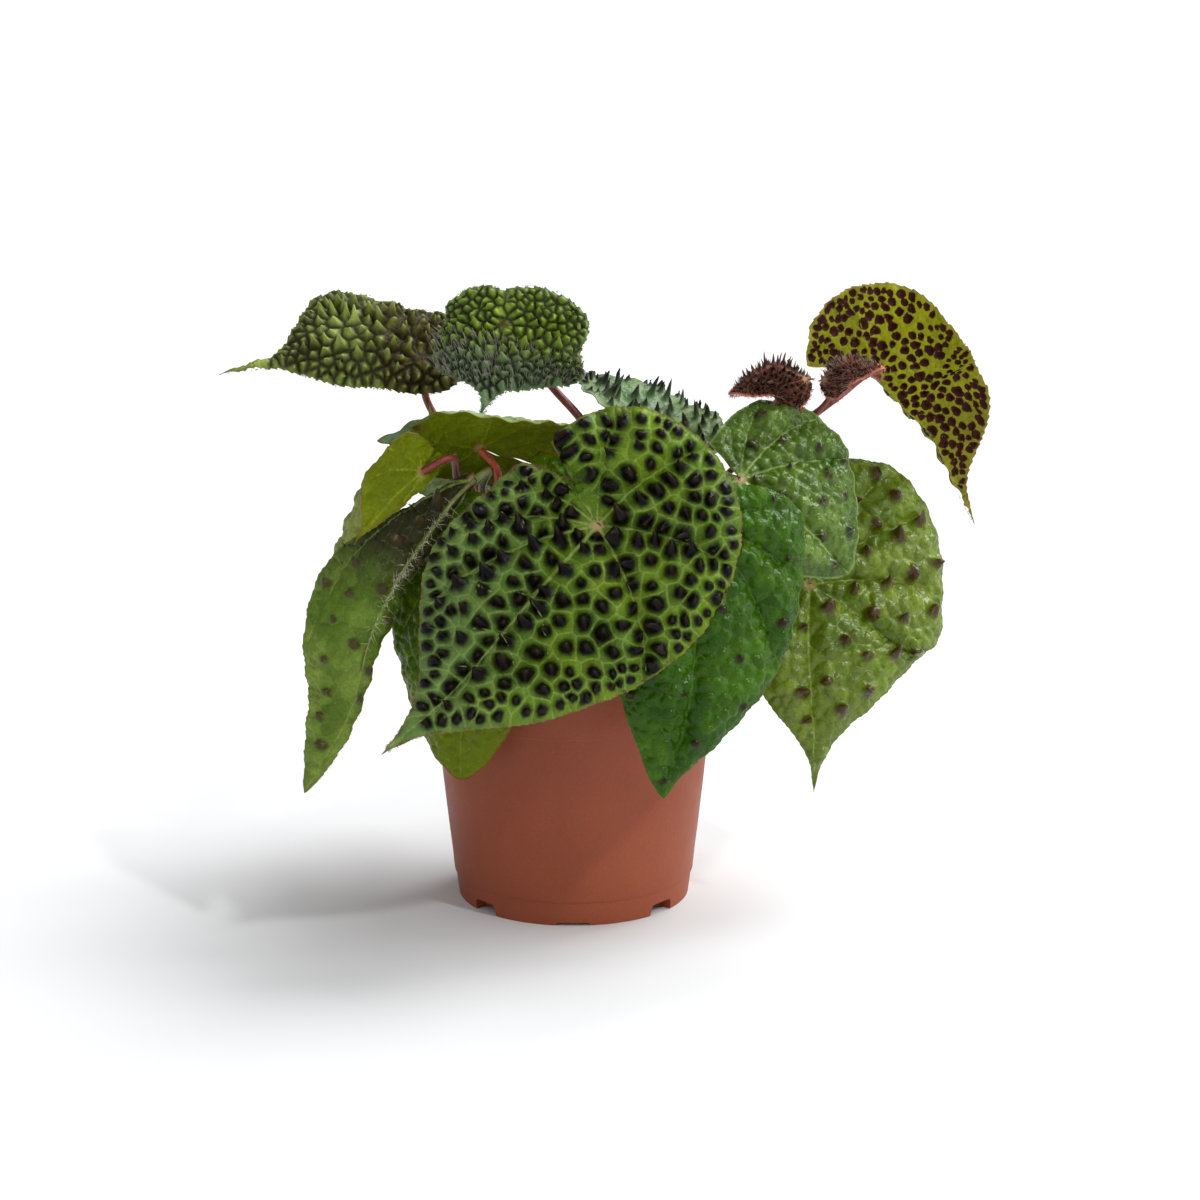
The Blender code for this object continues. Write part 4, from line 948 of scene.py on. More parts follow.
def flat_mesh(loop, points):
    """Triangles over the flat blade, with its outline kept: points and faces."""
    flat = np.vstack([loop, points])
    edges = [(k, (k + 1) % len(loop)) for k in range(len(loop))]
    made = delaunay_2d_cdt([Vector(p) for p in flat], edges, [], 1, 1e-7)
    flat = np.array([tuple(v) for v in made[0]])
    faces = np.array([f for f in made[2] if len(f) == 3])
    used = np.unique(faces)
    remap = np.full(len(flat), -1)
    remap[used] = np.arange(len(used))
    return flat[used], remap[faces]


def sheet_faces(faces, count):
    """Faces of a closed sheet: upper side, lower side (its points follow the upper ones), edge."""
    directed = set()
    for a, b, c in faces.tolist():
        directed.update(((a, b), (b, c), (c, a)))
    walls = sorted((b, a, a + count, b + count) for a, b in directed if (b, a) not in directed)
    upper = [tuple(f) for f in faces.tolist()]
    return upper + [(c + count, b + count, a + count) for a, b, c in upper] + walls


def make_cells(loop, lines, look, rng):
    """Middles of the net's cells and, of each, its radius, cone, tone, height and lean."""
    centres = cell_centres(loop, lines, look, rng)
    count = len(centres)
    rim, _ = nearest(centres, loop)
    _, main = vein_field(centres, lines)
    apart = np.linalg.norm(centres[:, None] - centres[None], axis=2) + np.eye(count)
    radius = np.minimum(np.minimum(apart.min(1) * 0.62, rim * 1.1), main * 1.5)
    spiky = (rng.random(count) < look["share"]).astype(float)
    if look["share"] < 0.5:
        spiky *= (radius > 0.34 * look["cell"] * MM) & (rim > 5 * MM)
    tone = rng.random(count)
    inner = smoothstep((rim / MM - look["fade"]) / (3 * look["fade"]))
    tall = rng.uniform(look["low"], look["high"], count) * (0.45 + 0.55 * inner)
    lean = rng.normal(0, look["lean"], (count, 2))
    return centres, radius, spiky, tone, tall, lean


def make_blade(name):
    """One blade: its flat mesh, its relief, and the marks that its material reads."""
    leaf = Leaf(name)
    shape = leaf.shape
    look = PLAIN_LOOK | LOOKS[shape["look"]]
    rng = np.random.default_rng(sum(map(ord, name)) * 7 + 3)
    loop = margin_loop(leaf, look, rng)
    lines = vein_lines(leaf, rng)
    centres, radius, spiky, tone, tall, lean = make_cells(loop, lines, look, rng)
    flat, faces = flat_mesh(loop, blade_points(loop, centres, radius, spiky, look, rng))

    # Where each point lies: in its cell, from the veins, the margin and the stalk.
    on_flat = np.column_stack([flat, np.zeros(len(flat))])
    bend = np.column_stack([lattice_noise(on_flat + shift, 4.5 * MM, 31) for shift in (0.0, 0.7)])
    cell, first, border = nearest_two(flat + bend * look["cell"] * 0.10 * MM, centres)
    rim, rim_at = nearest(flat, loop)
    main, main_d = vein_field(flat, lines, look["bold"])
    seam = border / MM
    border = np.minimum(np.minimum(border, main_d * 1.2), rim * 1.5)
    core = np.clip(border / np.maximum(first + border, 1e-6), 0, 1)
    size = radius[cell]
    disc = np.clip(1 - first / np.maximum(1.25 * size, 1e-6), 0, 1)
    from_stalk = np.hypot(flat[:, 0], flat[:, 1])
    calm = smoothstep(from_stalk / (9 * MM))
    shore = smoothstep(rim / (2.4 * MM))
    along_share, aside_share, start, end = shape["zone"]
    zone = along_share * flat[:, 0] / leaf.length + aside_share * flat[:, 1] / max(leaf.width)
    zone = smoothstep((zone - start) / (end - start))

    # Large forms first: quilting between the main veins, waves, a wavy margin.
    quilt = look["quilt"] * MM * smoothstep(main_d / (8 * MM)) * smoothstep(rim / (9 * MM))
    wave = lattice_noise(on_flat, 17 * MM, 11) * look["wave"] * MM * calm
    arc = rim_at * look["step"] * 0.8 / 13.0
    flare = look["ruffle"] * MM * 1.3 * (1 - smoothstep(rim / (11 * MM))) * np.sin(2 * math.pi * arc) * calm
    plain = leaf.lay(flat)
    plain = plain + surface_normals(plain, faces) * (quilt + wave + flare)[:, None]
    up_of = surface_normals(plain, faces)

    # Then the domes of the cells, the sunken veins, and the cones.
    dome = look["dome"] * size * (1 - (1 - core) ** look["point"]) * shore
    dome = dome * tall[cell] ** look["swing"]
    ripple = lattice_noise(on_flat, 3.5 * MM, 5)
    height = dome + look["ripple"] * MM * ripple * shore - look["groove"] * MM * main
    cone = smoothstep((core - look["foot"]) / (1 - look["foot"]))
    rise = look["spike"] * size * cone ** 1.2 * spiky[cell] * smoothstep(rim / (1.2 * MM))
    taller = 1 + (shape["zone_spike"] - 1) * zone
    rise = rise * tall[cell] * taller
    peak = np.zeros(len(flat))
    if "peaks" in look:
        gap, reach, top_height = look["peaks"]
        feet = peak_centres(loop, lines, gap * MM, reach * MM, rng)
        away, at = nearest(flat, feet)
        peak = np.clip(1 - away / (reach * MM * (0.75 + 0.5 * rng.random(len(feet)))[at]), 0, 1)
        rise = rise + top_height * taller * MM * (0.45 * smoothstep(peak) + 0.55 * peak ** 2.2) * shore
    nudge = 0.2 * MM
    ahead = unit(leaf.lay(flat + np.array([nudge, 0])) - leaf.lay(flat))
    aside = unit(leaf.lay(flat + np.array([0, nudge])) - leaf.lay(flat))
    tilt = lean[cell] * (rise ** 1.3 / np.maximum(size, 1e-5) ** 0.3)[:, None]
    shift = ahead * tilt[:, :1] + aside * tilt[:, 1:]
    shift = shift + np.array(shape["sway"]) * (rise * smoothstep(rise / (2.5 * MM)))[:, None]
    half = (0.12 + 0.16 * smoothstep(rim / (3 * MM))) * MM
    top = plain + up_of * (height + rise + half)[:, None] + shift
    hollow = height + 0.8 * rise - half
    bottom = plain + up_of * hollow[:, None] + shift * 0.8

    count = len(flat)
    obj = mesh_object(name + "_blade", np.vstack([top, bottom]), sheet_faces(faces, count),
                      blade_material(name, look, *shape["tint"]))
    edge_tint = (1 - smoothstep(rim / (2.2 * MM))) * smoothstep((from_stalk / leaf.length - 0.18) / 0.14)
    hub = 1 - smoothstep(from_stalk / (3.6 * MM))
    fields = dict(core=core, disc=disc, main=main, rim=edge_tint, spiky=spiky[cell], peak=peak, seam=seam,
                  zone=zone, tone=tone[cell], hub=hub)
    for key, values in fields.items():
        set_attribute(obj, key, np.concatenate([values, values]))
    set_attribute(obj, "under", np.concatenate([np.zeros(count), np.ones(count)]))
    set_attribute(obj, "flat", np.vstack([on_flat, on_flat]))
    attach(obj, "root")
    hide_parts(name)


# ---------------------------------------------------------------- pot and soil
def lathe(profile, sides):
    """Closed turned body; points on the axis become single vertices."""
    verts, rings, faces = [], [], []
    for radius, z in profile:
        count = 1 if radius < 1e-9 else sides
        rings.append(range(len(verts), len(verts) + count))
        for k in range(count):
            a = 2 * math.pi * k / count
            verts.append((radius * math.cos(a), radius * math.sin(a), z))
    for low, high in zip(rings, rings[1:]):
        for k in range(sides):
            n = k + 1
            quad = [low[k % len(low)], low[n % len(low)], high[n % len(high)], high[k % len(high)]]
            faces.append(tuple(v for i, v in enumerate(quad) if v not in quad[:i]))
    return verts, faces


def foot_cutter():
    """Blocks for the arches and slots of the foot, and pins for the holes."""
    bm = bmesh.new()
    inner, outer = FOOT_INNER - 0.0004, 0.060

    def passage(azimuth, width, height):
        turn = math.radians(azimuth)
        radial = Vector((math.cos(turn), math.sin(turn), 0))
        across = Vector((-math.sin(turn), math.cos(turn), 0))
        outline = [(-width / 2, -0.005), (-width / 2 + 0.15 * height, 0.7 * height)]
        outline += [(-width / 2 + 0.27 * height, 0.90 * height), (-width / 2 + 0.5 * height, height)]
        outline += [(-u, z) for u, z in reversed(outline)]
        ends = []
        for reach in (inner, outer):
            ends.append([bm.verts.new(radial * reach + across * u + Vector((0, 0, z))) for u, z in outline])
        for k in range(len(outline)):
            n = (k + 1) % len(outline)
            bm.faces.new((ends[0][k], ends[0][n], ends[1][n], ends[1][k]))
        bm.faces.new(ends[0])
        bm.faces.new(ends[1])

    for base in (-90, 90):
        passage(base + FOOT_ARCH_AZIMUTH, FOOT_ARCH_WIDTH, FOOT_ARCH_HEIGHT)
        passage(base - FOOT_ARCH_AZIMUTH, FOOT_ARCH_WIDTH, FOOT_ARCH_HEIGHT)
        passage(base, FOOT_SLOT_WIDTH, FOOT_SLOT_HEIGHT)
    for k in range(HOLE_COUNT):
        angle = 2 * math.pi * (k + 0.5) / HOLE_COUNT
        centre = (HOLE_CIRCLE * math.cos(angle), HOLE_CIRCLE * math.sin(angle), 0.003)
        pin = bmesh.ops.create_cone(bm, cap_ends=True, segments=24, radius1=HOLE_RADIUS,
                                    radius2=HOLE_RADIUS, depth=0.010)
        bmesh.ops.translate(bm, verts=pin["verts"], vec=centre)
    bmesh.ops.recalc_face_normals(bm, faces=bm.faces)
    mesh = bpy.data.meshes.new("foot_cutter")
    bm.to_mesh(mesh)
    bm.free()
    return new_object("foot_cutter", mesh)


def pot_material():
    """Matt terracotta plastic with faint clouds and specks."""
    g = Graph("terracotta_plastic_finish")
    g.shader.inputs["Specular IOR Level"].default_value = 0.30
    colour = g.mottle(g.noise(16, 3.0), (138, 66, 40), (148, 74, 46))
    colour = g.paint(g.span(g.noise(1500, 2.0), 0.74, 0.80, 0.0, 0.5), colour, (214, 150, 120))
    g.colour(g.shade(g.span(g.noise(700, 2.0), 0.25, 0.75, 0.95, 1.04), colour))
    g.put(g.shader.inputs["Roughness"], g.span(g.noise(60, 3.0), 0.3, 0.7, 0.48, 0.58))
    g.bump(g.noise(1300, 3.0), 0.00012, 0.6)
    return g.mat


def make_pot():
    """Turned pot, with arches and slots cut in its foot and holes in its floor."""
    base = POT_OUTSIDE[-1][1]
    outside = [(r, z) for z, r in POT_OUTSIDE]
    profile = [(0.0, 0.0), (CENTRE_DISC, 0.0), (CHANNEL_INNER, CHANNEL_DEPTH), (CHANNEL_OUTER, CHANNEL_DEPTH),
               (FOOT_INNER, 0.0003), (FOOT_INNER + 0.0003, 0.0)]
    profile += outside
    profile += [(base + 0.0001, COLLAR_Z - 0.0001), (base + COLLAR_STEP - 0.0001, COLLAR_Z + 0.0001)]
    profile += [(base + COLLAR_STEP, COLLAR_Z + 0.0003), (0.0584, 0.0900), (0.0590, 0.0970)]
    profile += [(RIM_RADIUS - inset, POT_HEIGHT - drop) for inset, drop in LIP]
    profile += [(base + COLLAR_STEP - POT_WALL, COLLAR_Z + 0.001)]
    profile += [(r - POT_WALL, z) for r, z in reversed(outside[5:])]
    profile += [(FOOT_OUTER - 0.0010, FLOOR_TOP), (0.0, FLOOR_TOP)]
    verts, faces = lathe(profile, POT_SIDES)
    body = mesh_object("pot_uncut", verts, faces, pot_material())
    cuts = foot_cutter()
    boolean = body.modifiers.new("feet_and_holes", "BOOLEAN")
    boolean.operation = "DIFFERENCE"
    boolean.solver = "EXACT"
    boolean.object = cuts
    mesh = bpy.data.meshes.new_from_object(body.evaluated_get(bpy.context.evaluated_depsgraph_get()))
    mesh.set_sharp_from_angle(angle=math.radians(28))
    pot = new_object("pot_shell", mesh)
    bpy.data.objects.remove(body)
    bpy.data.objects.remove(cuts)
    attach(pot, "root")
    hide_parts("pot")


def crumb(rng, centre, size):
    """Rough little lump: a squashed, dented six-ring ball."""
    verts = [(0.0, 0.0, 1.0)]
    for ring in (0.25, 0.5, 0.75):
        for k in range(6):
            a = 2 * math.pi * (k + ring * 2) / 6
            s = math.sin(math.pi * ring)
            verts.append((s * math.cos(a), s * math.sin(a), math.cos(math.pi * ring)))
    verts.append((0.0, 0.0, -1.0))
    verts = np.array(verts) * rng.uniform(0.75, 1.2, (len(verts), 1)) * size
    spin = rng.normal(0, 1, (3, 3))
    spin, _ = np.linalg.qr(spin)
    if np.linalg.det(spin) < 0:
        spin[:, 0] *= -1
    faces = []
    for k in range(6):
        n = (k + 1) % 6
        faces += [(0, 1 + k, 1 + n), (1 + k, 7 + k, 7 + n, 1 + n)]
        faces += [(7 + k, 13 + k, 13 + n, 7 + n), (13 + k, 19, 13 + n)]
    return verts @ spin + centre, faces


def soil_height(x, y):
    """Height of the lumpy soil surface, lower at the pot wall."""
    flat = np.column_stack([x, y, np.zeros(len(x))])
    lumps = lattice_noise(flat, 0.009, 21) * 0.8 + lattice_noise(flat, 0.004, 22) * 0.5
    lumps += lattice_noise(flat, 0.0018, 23) * 0.35
    edge = smoothstep((np.hypot(x, y) - 0.040) / (SOIL_EDGE_RADIUS - 0.040))
    return SOIL_TOP + lumps * MM * (1 - 0.6 * edge) - SOIL_EDGE_DROP * edge


def soil_material():
    """Dark peat with brown crumbs and white perlite."""
    g = Graph("potting_soil_finish", 0.95)
    tint = g.attribute("tint")
    colour = g.mottle(g.noise(260, 4.0), (38, 27, 20), (70, 50, 36))
    colour = g.paint(g.span(tint, 0.1, 0.6, 0.0, 0.8), colour, (86, 58, 38))
    g.colour(g.paint(g.span(tint, 0.9, 1.0), colour, (206, 202, 192)))
    g.bump(g.noise(1400, 4.0), 0.0005)
    return g.mat


def make_soil():
    """Soil body with a crumbly top; one crumb in twenty is white perlite."""
    rng = np.random.default_rng(41)
    rings, sides = 52, 150
    verts = [(0.0, 0.0, float(soil_height(np.zeros(1), np.zeros(1))[0]))]
    around = np.arange(sides) * 2 * math.pi / sides
    for i in range(1, rings + 1):
        r = SOIL_EDGE_RADIUS * i / rings
        x, y = r * np.cos(around), r * np.sin(around)
        verts += list(zip(x, y, soil_height(x, y)))
    for r, z in SOIL_BODY:
        verts += list(zip(r * np.cos(around), r * np.sin(around), np.full(sides, z)))
    faces = [(0, 1 + k, 1 + (k + 1) % sides) for k in range(sides)]
    starts = range(1, len(verts), sides)
    for low, high in zip(starts, starts[1:]):
        for k in range(sides):
            n = (k + 1) % sides
            faces.append((low + k, high + k, high + n, low + n))
    faces.append(tuple(starts[-1] + k for k in reversed(range(sides))))
    tints = [0.0] * len(verts)
    verts = list(map(tuple, verts))
    for _ in range(CRUMBS):
        r = (SOIL_EDGE_RADIUS - 0.0015) * math.sqrt(rng.random())
        a = rng.uniform(0, 2 * math.pi)
        size = rng.gamma(4, 0.22) * MM
        x, y = r * math.cos(a), r * math.sin(a)
        z = float(soil_height(np.array([x]), np.array([y]))[0])
        size = min(size, CRUMB_SIZE_LIMIT)
        points, tris = crumb(rng, (x, y, z + 0.2 * size), size * np.array([1.0, 0.8, 0.6]))
        start = len(verts)
        verts += list(map(tuple, points))
        faces += [tuple(start + k for k in f) for f in tris]
        kind = 1.0 if rng.random() < PERLITE_SHARE else rng.uniform(0.1, 0.6)
        tints += [kind] * len(points)
    soil = mesh_object("soil_surface", verts, faces, soil_material(), 180)
    set_attribute(soil, "tint", tints)
    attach(soil, "root")
    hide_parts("soil")


# ---------------------------------------------------------------------- stalks
def bar(path, radii, sides):
    """Closed round bar along a path: vertices and faces."""
    path = np.asarray(path, float)
    tangent = unit(np.gradient(path, axis=0))
    side = np.cross(tangent[0], (0.0, 0.0, 1.0))
    if np.linalg.norm(side) < 0.2:
        side = np.cross(tangent[0], (1.0, 0.0, 0.0))
    verts, faces = [], []
    for centre, along, radius in zip(path, tangent, radii):
        side = side - along * np.dot(side, along)
        side = side / np.linalg.norm(side)
        other = np.cross(along, side)
        for k in range(sides):
            a = 2 * math.pi * k / sides
            verts.append(centre + radius * (math.cos(a) * side + math.sin(a) * other))
    for i in range(len(path) - 1):
        low, high = i * sides, (i + 1) * sides
        for k in range(sides):
            n = (k + 1) % sides
            faces.append((low + k, low + n, high + n, high + k))
    faces.append(tuple(reversed(range(sides))))
    faces.append(tuple(range(len(verts) - sides, len(verts))))
    return verts, faces


def add_hair(verts, faces, root, way, length, width):
    """Adds one fine hair, a three-sided closed cone, to a mesh's lists."""
    side = unit(np.cross(way, (0.31, 0.52, 0.79)))
    other = np.cross(way, side)
    start = len(verts)
    verts += [root + width * (math.cos(a) * side + math.sin(a) * other) for a in (0.0, 2.094, 4.189)]
    verts.append(root + way * length)
    faces += [tuple(start + k for k in f) for f in ((0, 2, 1), (0, 1, 3), (1, 2, 3), (2, 0, 3))]


def stalk_material(name, dark, bright, hair_colour):
    """Streaked skin with pale specks, brighter near the blade, and its hairs."""
    g = Graph(name, 0.45, 0.1)
    colour = g.mottle(g.noise(300, 3.0), dark, bright)
    colour = g.paint(g.span(g.noise(1500, 2.0), 0.62, 0.72, 0.0, 0.45), colour, (214, 150, 120))
    colour = g.paint(g.span(g.attribute("along"), 0.72, 1.0, 0.0, 0.3), colour, bright)
    g.colour(g.paint(g.attribute("hair"), colour, hair_colour))
    g.bump(g.noise(1100, 3.0), 0.0004, 0.6)
    return g.mat


def rhizome_path(count):
    """Middle line and radius of the creeping stem where it lies on the soil."""
    rows = spline(RHIZOME, count)
    centre = np.column_stack([rows[:, 0], rows[:, 1], SOIL_TOP + GAP * 1.5 + rows[:, 2]])
    return centre, rows[:, 2]


def petiole_foot(x, lean):
    """Point just off the creeping stem, and the direction a stalk leaves it."""
    centre, radius = rhizome_path(RHIZOME_RINGS)
    taper = np.abs(np.gradient(radius, centre[:, 0]))
    heading = unit(np.gradient(centre, axis=0))
    rows = np.column_stack([centre, heading, radius, taper])
    row = np.array([np.interp(x, centre[:, 0], column) for column in rows.T])
    along = unit(row[3:6])
    a = math.radians(lean)
    out = np.array([0.0, -math.sin(a), math.cos(a)])
    out = unit(out - along * (out @ along))
    return row[:3] + out * (row[6] + FOOT_GAP + PETIOLE_THICK * 1.3 * row[7]), out


def make_rhizome():
    """Creeping stem with leaf-scar rings and short brown hairs."""
    rng = np.random.default_rng(17)
    centre, radius = rhizome_path(150)
    sides = 40
    rings = 1 + 0.05 * np.sin(run_along(centre) / 0.0042 * 2 * math.pi)
    verts, faces = bar(centre, radius * rings, sides)
    verts = np.array(verts)
    out = unit(verts - np.repeat(centre, sides, axis=0))
    bumps = lattice_noise(verts, 0.0028, 3) * 0.45 * MM + lattice_noise(verts, 0.0011, 4) * 0.2 * MM
    verts = list(verts + out * bumps[:, None])
    bare = len(verts)
    for _ in range(420):
        k = int(rng.integers(2, len(centre) - 3))
        a = rng.uniform(-0.3, math.pi + 0.3)
        way = unit(np.array([rng.normal(0, 0.5), math.cos(a), abs(math.sin(a)) + 0.1]))
        root = centre[k] + way * radius[k] * 0.95
        way = unit(way + rng.normal(0, 0.35, 3))
        add_hair(verts, faces, root, way, rng.uniform(1.2, 2.6) * MM, 0.09 * MM)
    g = Graph("rhizome_bark_finish", 0.75)
    colour = g.mottle(g.noise(170, 4.0), (78, 44, 26), (124, 80, 48))
    g.colour(g.paint(g.attribute("hair"), colour, (176, 134, 96)))
    g.bump(g.noise(700, 4.0), 0.0006)
    obj = mesh_object("rhizome_bark", verts, faces, g.mat)
    set_attribute(obj, "hair", np.arange(len(verts)) >= bare)
    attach(obj, "root")
    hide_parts("rhizome")


def stalk_object(name, node, path, radii, mat, rng):
    """Round hairy stalk along a path."""
    sides = 12
    verts, faces = bar(path, radii, sides)
    along = np.repeat(np.linspace(0, 1, len(path)), sides)
    bare = len(verts)
    tangent = unit(np.gradient(path, axis=0))
    length = np.linalg.norm(np.diff(path, axis=0), axis=1).sum()
    for _ in range(int(length / STALK_HAIR_STEP)):
        t = rng.uniform(0.02, 0.97) * (len(path) - 1)
        k = int(t)
        around = rng.normal(0, 1, 3)
        around = unit(around - tangent[k] * (around @ tangent[k]))
        spot = path[k] * (1 - t + k) + path[k + 1] * (t - k)
        root = spot + around * radii[k] * 0.92
        way = unit(around + tangent[k] * rng.uniform(-0.1, 0.5) + rng.normal(0, 0.15, 3))
        add_hair(verts, faces, root, way, rng.uniform(0.5, 1.4) * MM, 0.045 * MM)
    along = np.concatenate([along, np.full(len(verts) - bare, 0.5)])
    obj = mesh_object(name, verts, faces, mat)
    set_attribute(obj, "along", along)
    set_attribute(obj, "hair", np.arange(len(verts)) >= bare)
    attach(obj, "root")
    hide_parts(node)


def make_petiole(leaf_name, route, mats):
    """Stalk from the creeping stem to its blade."""
    rng = np.random.default_rng(sum(map(ord, leaf_name)))
    start, out = petiole_foot(*route["foot"])
    leaf = Leaf(leaf_name)
    end, arrive = leaf.stalk_seat()
    stops = [start - out * 0.0012, start + out * 0.006, *route["via"]]
    stops += [end - arrive * 0.007, end, leaf.curve[0] - leaf.up[0] * 0.0008]
    path = route_curve(stops, 60)
    share = np.linspace(0, 1, len(path))
    radii = route.get("thick", PETIOLE_THICK) * (1.35 - 0.45 * share)
    radii *= 1 + 0.25 * smoothstep((0.08 - share) / 0.08) + 0.12 * smoothstep((share - 0.95) / 0.05)
    node = leaf_name.replace("leaf", "petiole", 1)
    stalk_object(node + "_stalk", node, path, radii, mats[route.get("skin", "red")], rng)


def make_ridge(mat):
    """Raised midrib of the hanging blade, with long white hairs."""
    rng = np.random.default_rng(51)
    leaf = Leaf("leaf_left_hanging")
    share = np.linspace(0.0, 0.62, 60)
    path = leaf.lay(np.column_stack([share * leaf.length, np.full(60, 0.0001)]))
    out = unit(np.cross(np.gradient(path, axis=0), np.array([0.0, 0.0, 1.0])))
    out = out * np.sign(-out[:, 1:2])
    path = path + out * 0.35 * MM
    radii = np.linspace(0.95, 0.35, 60) * MM
    verts, faces = bar(path, radii, 10)
    bare = len(verts)
    for _ in range(230):
        k = int(8 + 48 * rng.beta(1.6, 2.0))
        way = unit(out[k] + rng.normal(0, 0.75, 3) + np.array([-0.35, 0.0, 0.15]))
        add_hair(verts, faces, path[k] + way * radii[k] * 0.8, way, rng.uniform(2.5, 7.0) * MM, 0.10 * MM)
    obj = mesh_object("leaf_left_hanging_ridge", verts, faces, mat)
    set_attribute(obj, "along", np.full(len(verts), 0.5))
    set_attribute(obj, "hair", np.arange(len(verts)) >= bare)
    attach(obj, "root")
    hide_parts("leaf_left_hanging")


def hair_object(leaf_name, kind, verts, faces, rough, scale, colour, dull):
    """Hairs of one blade as a piece, in one colour and a share of it."""
    g = Graph("%s_%s_finish" % (leaf_name, kind), rough)
    g.colour(g.mottle(g.noise(scale, 2.0), colour, [dull * c for c in colour]))
    obj = mesh_object("%s_%s" % (leaf_name, kind), verts, faces, g.mat)
    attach(obj, "root")
    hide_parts(leaf_name)


def make_fringe(leaf_name, count, reach, thick, colour):
    """Short hairs along the margin of a blade."""
    rng = np.random.default_rng(len(leaf_name) * 13 + count)
    leaf = Leaf(leaf_name)
    edges = [leaf.outline(side, 300) for side in (1, -1)]
    verts, faces = [], []
    for _ in range(count):
        edge = edges[int(rng.integers(2))]
        k = int(rng.integers(4, 290))
        spot = edge[k] * 0.985
        ahead = unit(edge[k + 3] - edge[k - 3])
        out = np.array([-ahead[1], ahead[0]])
        out = out * np.sign(out @ edge[k]) + rng.normal(0, 0.45, 2)
        points = leaf.lay(np.array([spot, spot + unit(out) * MM]))
        way = unit(unit(points[1] - points[0]) + rng.normal(0, 0.30, 3))
        add_hair(verts, faces, points[0], way, rng.uniform(0.5, 1.0) * reach * MM, thick * MM)
    hair_object(leaf_name, "fringe", verts, faces, 0.6, 400, colour, 0.7)


def make_bristles(leaf_name, count, low, high, reach, thick, lean, colour):
    """Thin upright bristles on the part of a blade between two shares of its midrib."""
    rng = np.random.default_rng(len(leaf_name) * 7 + count)
    leaf = Leaf(leaf_name)
    loop = np.vstack([leaf.outline(1, 200), leaf.outline(-1, 200)[::-1]])
    spots = rng.uniform(loop.min(0), loop.max(0), (count * 8, 2))
    share = spots[:, 0] / leaf.length
    spots = spots[(share > low) & (share < high) & inside(spots, loop)][:count]
    nudge = 0.4 * MM
    base = leaf.lay(spots)
    ahead = leaf.lay(spots + np.array([nudge, 0])) - base
    aside = leaf.lay(spots + np.array([0, nudge])) - base
    out = unit(np.cross(ahead, aside))
    verts, faces = [], []
    for point, normal in zip(base, out):
        way = unit(normal + np.array(lean) + rng.normal(0, 0.18, 3))
        add_hair(verts, faces, point, way, rng.uniform(0.6, 1.1) * reach * MM, thick * MM)
    hair_object(leaf_name, "bristles", verts, faces, 0.5, 300, colour, 0.65)


def make_side_shoot(mat):
    """Knotty shoot from the end of the creeping stem to the thin blade."""
    rng = np.random.default_rng(77)
    leaf = Leaf("leaf_left_thin")
    end, arrive = leaf.stalk_seat()
    centre, radius = rhizome_path(RHIZOME_RINGS)
    out = unit(centre[0] - centre[1])
    stops = [centre[0] - out * 0.001, centre[0] + out * 0.006, *SIDE_SHOOT]
    stops += [end - arrive * 0.005, end, leaf.curve[0]]
    path = route_curve(stops, 70)
    share = np.linspace(0, 1, len(path))
    radii = np.interp(share, [0, 0.5, 0.9, 1], [0.0028, 0.0024, 0.0014, 0.0008])
    run = share * np.linalg.norm(np.diff(path, axis=0), axis=1).sum()
    radii = radii * (1 + 0.06 * np.cos(run / 0.011 * 2 * math.pi))
    stalk_object("side_shoot_stem", "side_shoot", path, radii, mat, rng)


def make_stipule(name, base, length, width, lean):
    """Papery pointed scale that clasps the side shoot, with a ragged edge."""
    rng = np.random.default_rng(len(name))
    rows, cols = 26, 17
    top, under = [], []
    for i in range(rows):
        t = i / (rows - 1)
        half = width / 2 * (1 - 0.80 * t ** 2)
        for j in range(cols):
            s = 2 * j / (cols - 1) - 1
            ragged = 1 + 0.05 * rng.normal() * (abs(s) > 0.95)
            ripple = 0.035 * width * math.sin(9 * t + 4 * s) * abs(s)
            point = Vector((half * s * ragged, -0.25 * width * (1 - s * s) + ripple, length * t))
            top.append(point)
            under.append(point + Vector((0.0, 0.00022, 0.0)))
    verts = top + under
    count = len(top)
    faces = []
    for i in range(rows - 1):
        for j in range(cols - 1):
            a = i * cols + j
            faces.append((a, a + 1, a + cols + 1, a + cols))
            faces.append((a + cols + count, a + cols + 1 + count, a + 1 + count, a + count))
    loop = [*range(cols), *range(2 * cols - 1, rows * cols, cols)]
    loop += [*range(rows * cols - 2, (rows - 1) * cols - 1, -1), *range((rows - 2) * cols, 0, -cols)]
    for a, b in zip(loop, loop[1:] + loop[:1]):
        faces.append((b, a, a + count, b + count))
    g = Graph(name + "_finish", 0.6)
    colour = g.mottle(g.noise(500, 3.0), (196, 120, 76), (226, 160, 112))
    g.colour(g.paint(g.span(g.noise(150, 2.0), 0.45, 0.65), colour, (150, 84, 52)))
    g.bump(g.noise(900, 3.0), 0.0004)
    obj = mesh_object(name + "_scale", verts, faces, g.mat)
    obj.rotation_euler = (math.radians(lean[0]), math.radians(lean[1]), 0)
    obj.location = base
    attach(obj, "root")
    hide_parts(name)


# -------------------------------------------------------------- stage and run
def make_floor():
    """Pale floor that fills the view."""
    g = Graph("paper_white_floor", 0.9)
    g.colour(FLOOR_COLOUR)
    corners = [(-20, -20, 0), (20, -20, 0), (20, 20, 0), (-20, 20, 0)]
    floor = mesh_object("floor", corners, [(0, 1, 2, 3)], g.mat)


def make_sun(name, towards, strength, spread):
    """Soft light that comes from the direction towards."""
    data = bpy.data.lights.new(name, "SUN")
    data.energy = strength
    data.angle = math.radians(spread)
    new_object(name, data).rotation_euler = Vector(towards).to_track_quat("Z", "Y").to_euler()


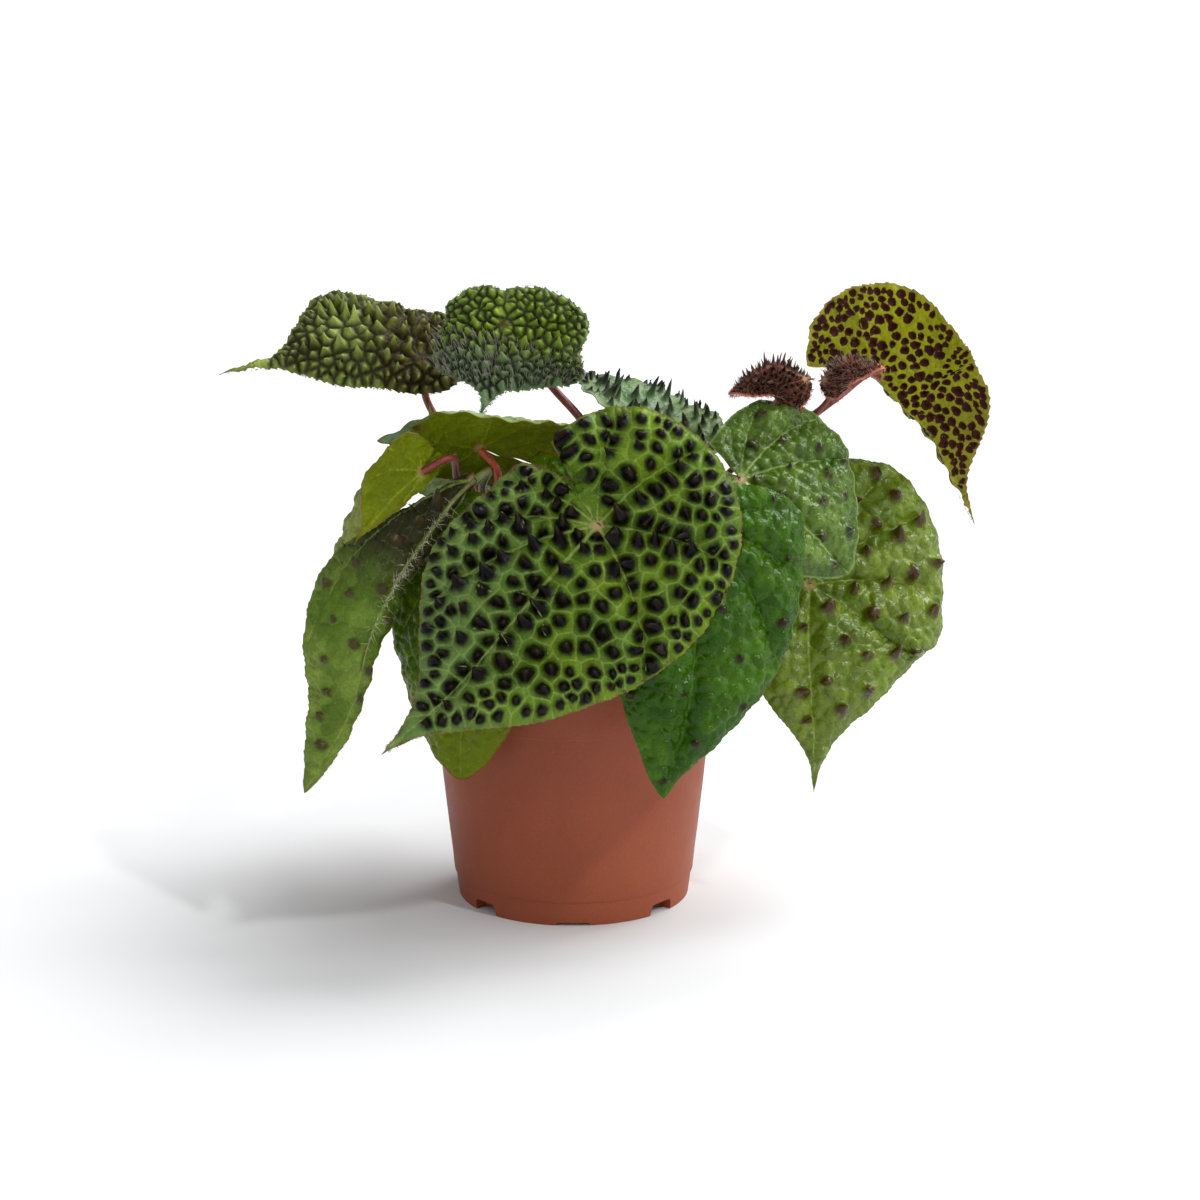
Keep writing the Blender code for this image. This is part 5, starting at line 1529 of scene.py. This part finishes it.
def make_world():
    """Even dim light all round, which the camera sees as white."""
    world = bpy.data.worlds.new("studio")
    world.use_nodes = True
    nodes, links = world.node_tree.nodes, world.node_tree.links
    lit, seen = nodes["Background"], nodes.new("ShaderNodeBackground")
    for node, strength in ((lit, WORLD_STRENGTH), (seen, 1.0)):
        node.inputs["Color"].default_value = (1, 1, 1, 1)
        node.inputs["Strength"].default_value = strength
    mix = nodes.new("ShaderNodeMixShader")
    links.new(nodes.new("ShaderNodeLightPath").outputs["Is Camera Ray"], mix.inputs[0])
    links.new(lit.outputs[0], mix.inputs[1])
    links.new(seen.outputs[0], mix.inputs[2])
    links.new(mix.outputs[0], nodes["World Output"].inputs["Surface"])
    bpy.context.scene.world = world


def make_camera():
    """Camera in front, above the plant and tipped down to it."""
    data = bpy.data.cameras.new("camera")
    data.sensor_width = 36.0
    data.lens = CAMERA_LENS
    obj = new_object("camera", data)
    obj.location = CAMERA_PLACE
    obj.rotation_euler = (math.radians(90 - CAMERA_DOWN), 0, 0)
    bpy.context.scene.camera = obj


def main():
    bpy.context.scene.view_settings.view_transform = "Standard"
    make_pot()
    make_soil()
    make_rhizome()
    skins = {
        "red": stalk_material("stalk_skin_finish", (92, 28, 22), (130, 46, 32), (214, 186, 160)),
        "orange": stalk_material("stalk_orange_finish", (150, 56, 26), (196, 84, 40), (226, 200, 170)),
        "pale": stalk_material("stalk_pale_finish", (96, 104, 42), (134, 140, 74), (226, 220, 200)),
    }
    for name, route in PETIOLES.items():
        make_petiole(name, route, skins)
    make_side_shoot(stalk_material("side_shoot_finish", (116, 66, 44), (160, 104, 66), (214, 180, 140)))
    for name, shape in STIPULES.items():
        make_stipule(name, *shape)
    for name in LEAVES:
        make_blade(name)
    make_ridge(skins["pale"])
    for name, rows in FRINGES.items():
        make_fringe(name, *rows)
    for name, rows in BRISTLES.items():
        make_bristles(name, *rows)
    make_floor()
    make_world()
    for name, light in SUNS.items():
        make_sun(name, *light)
    make_camera()
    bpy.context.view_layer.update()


main()
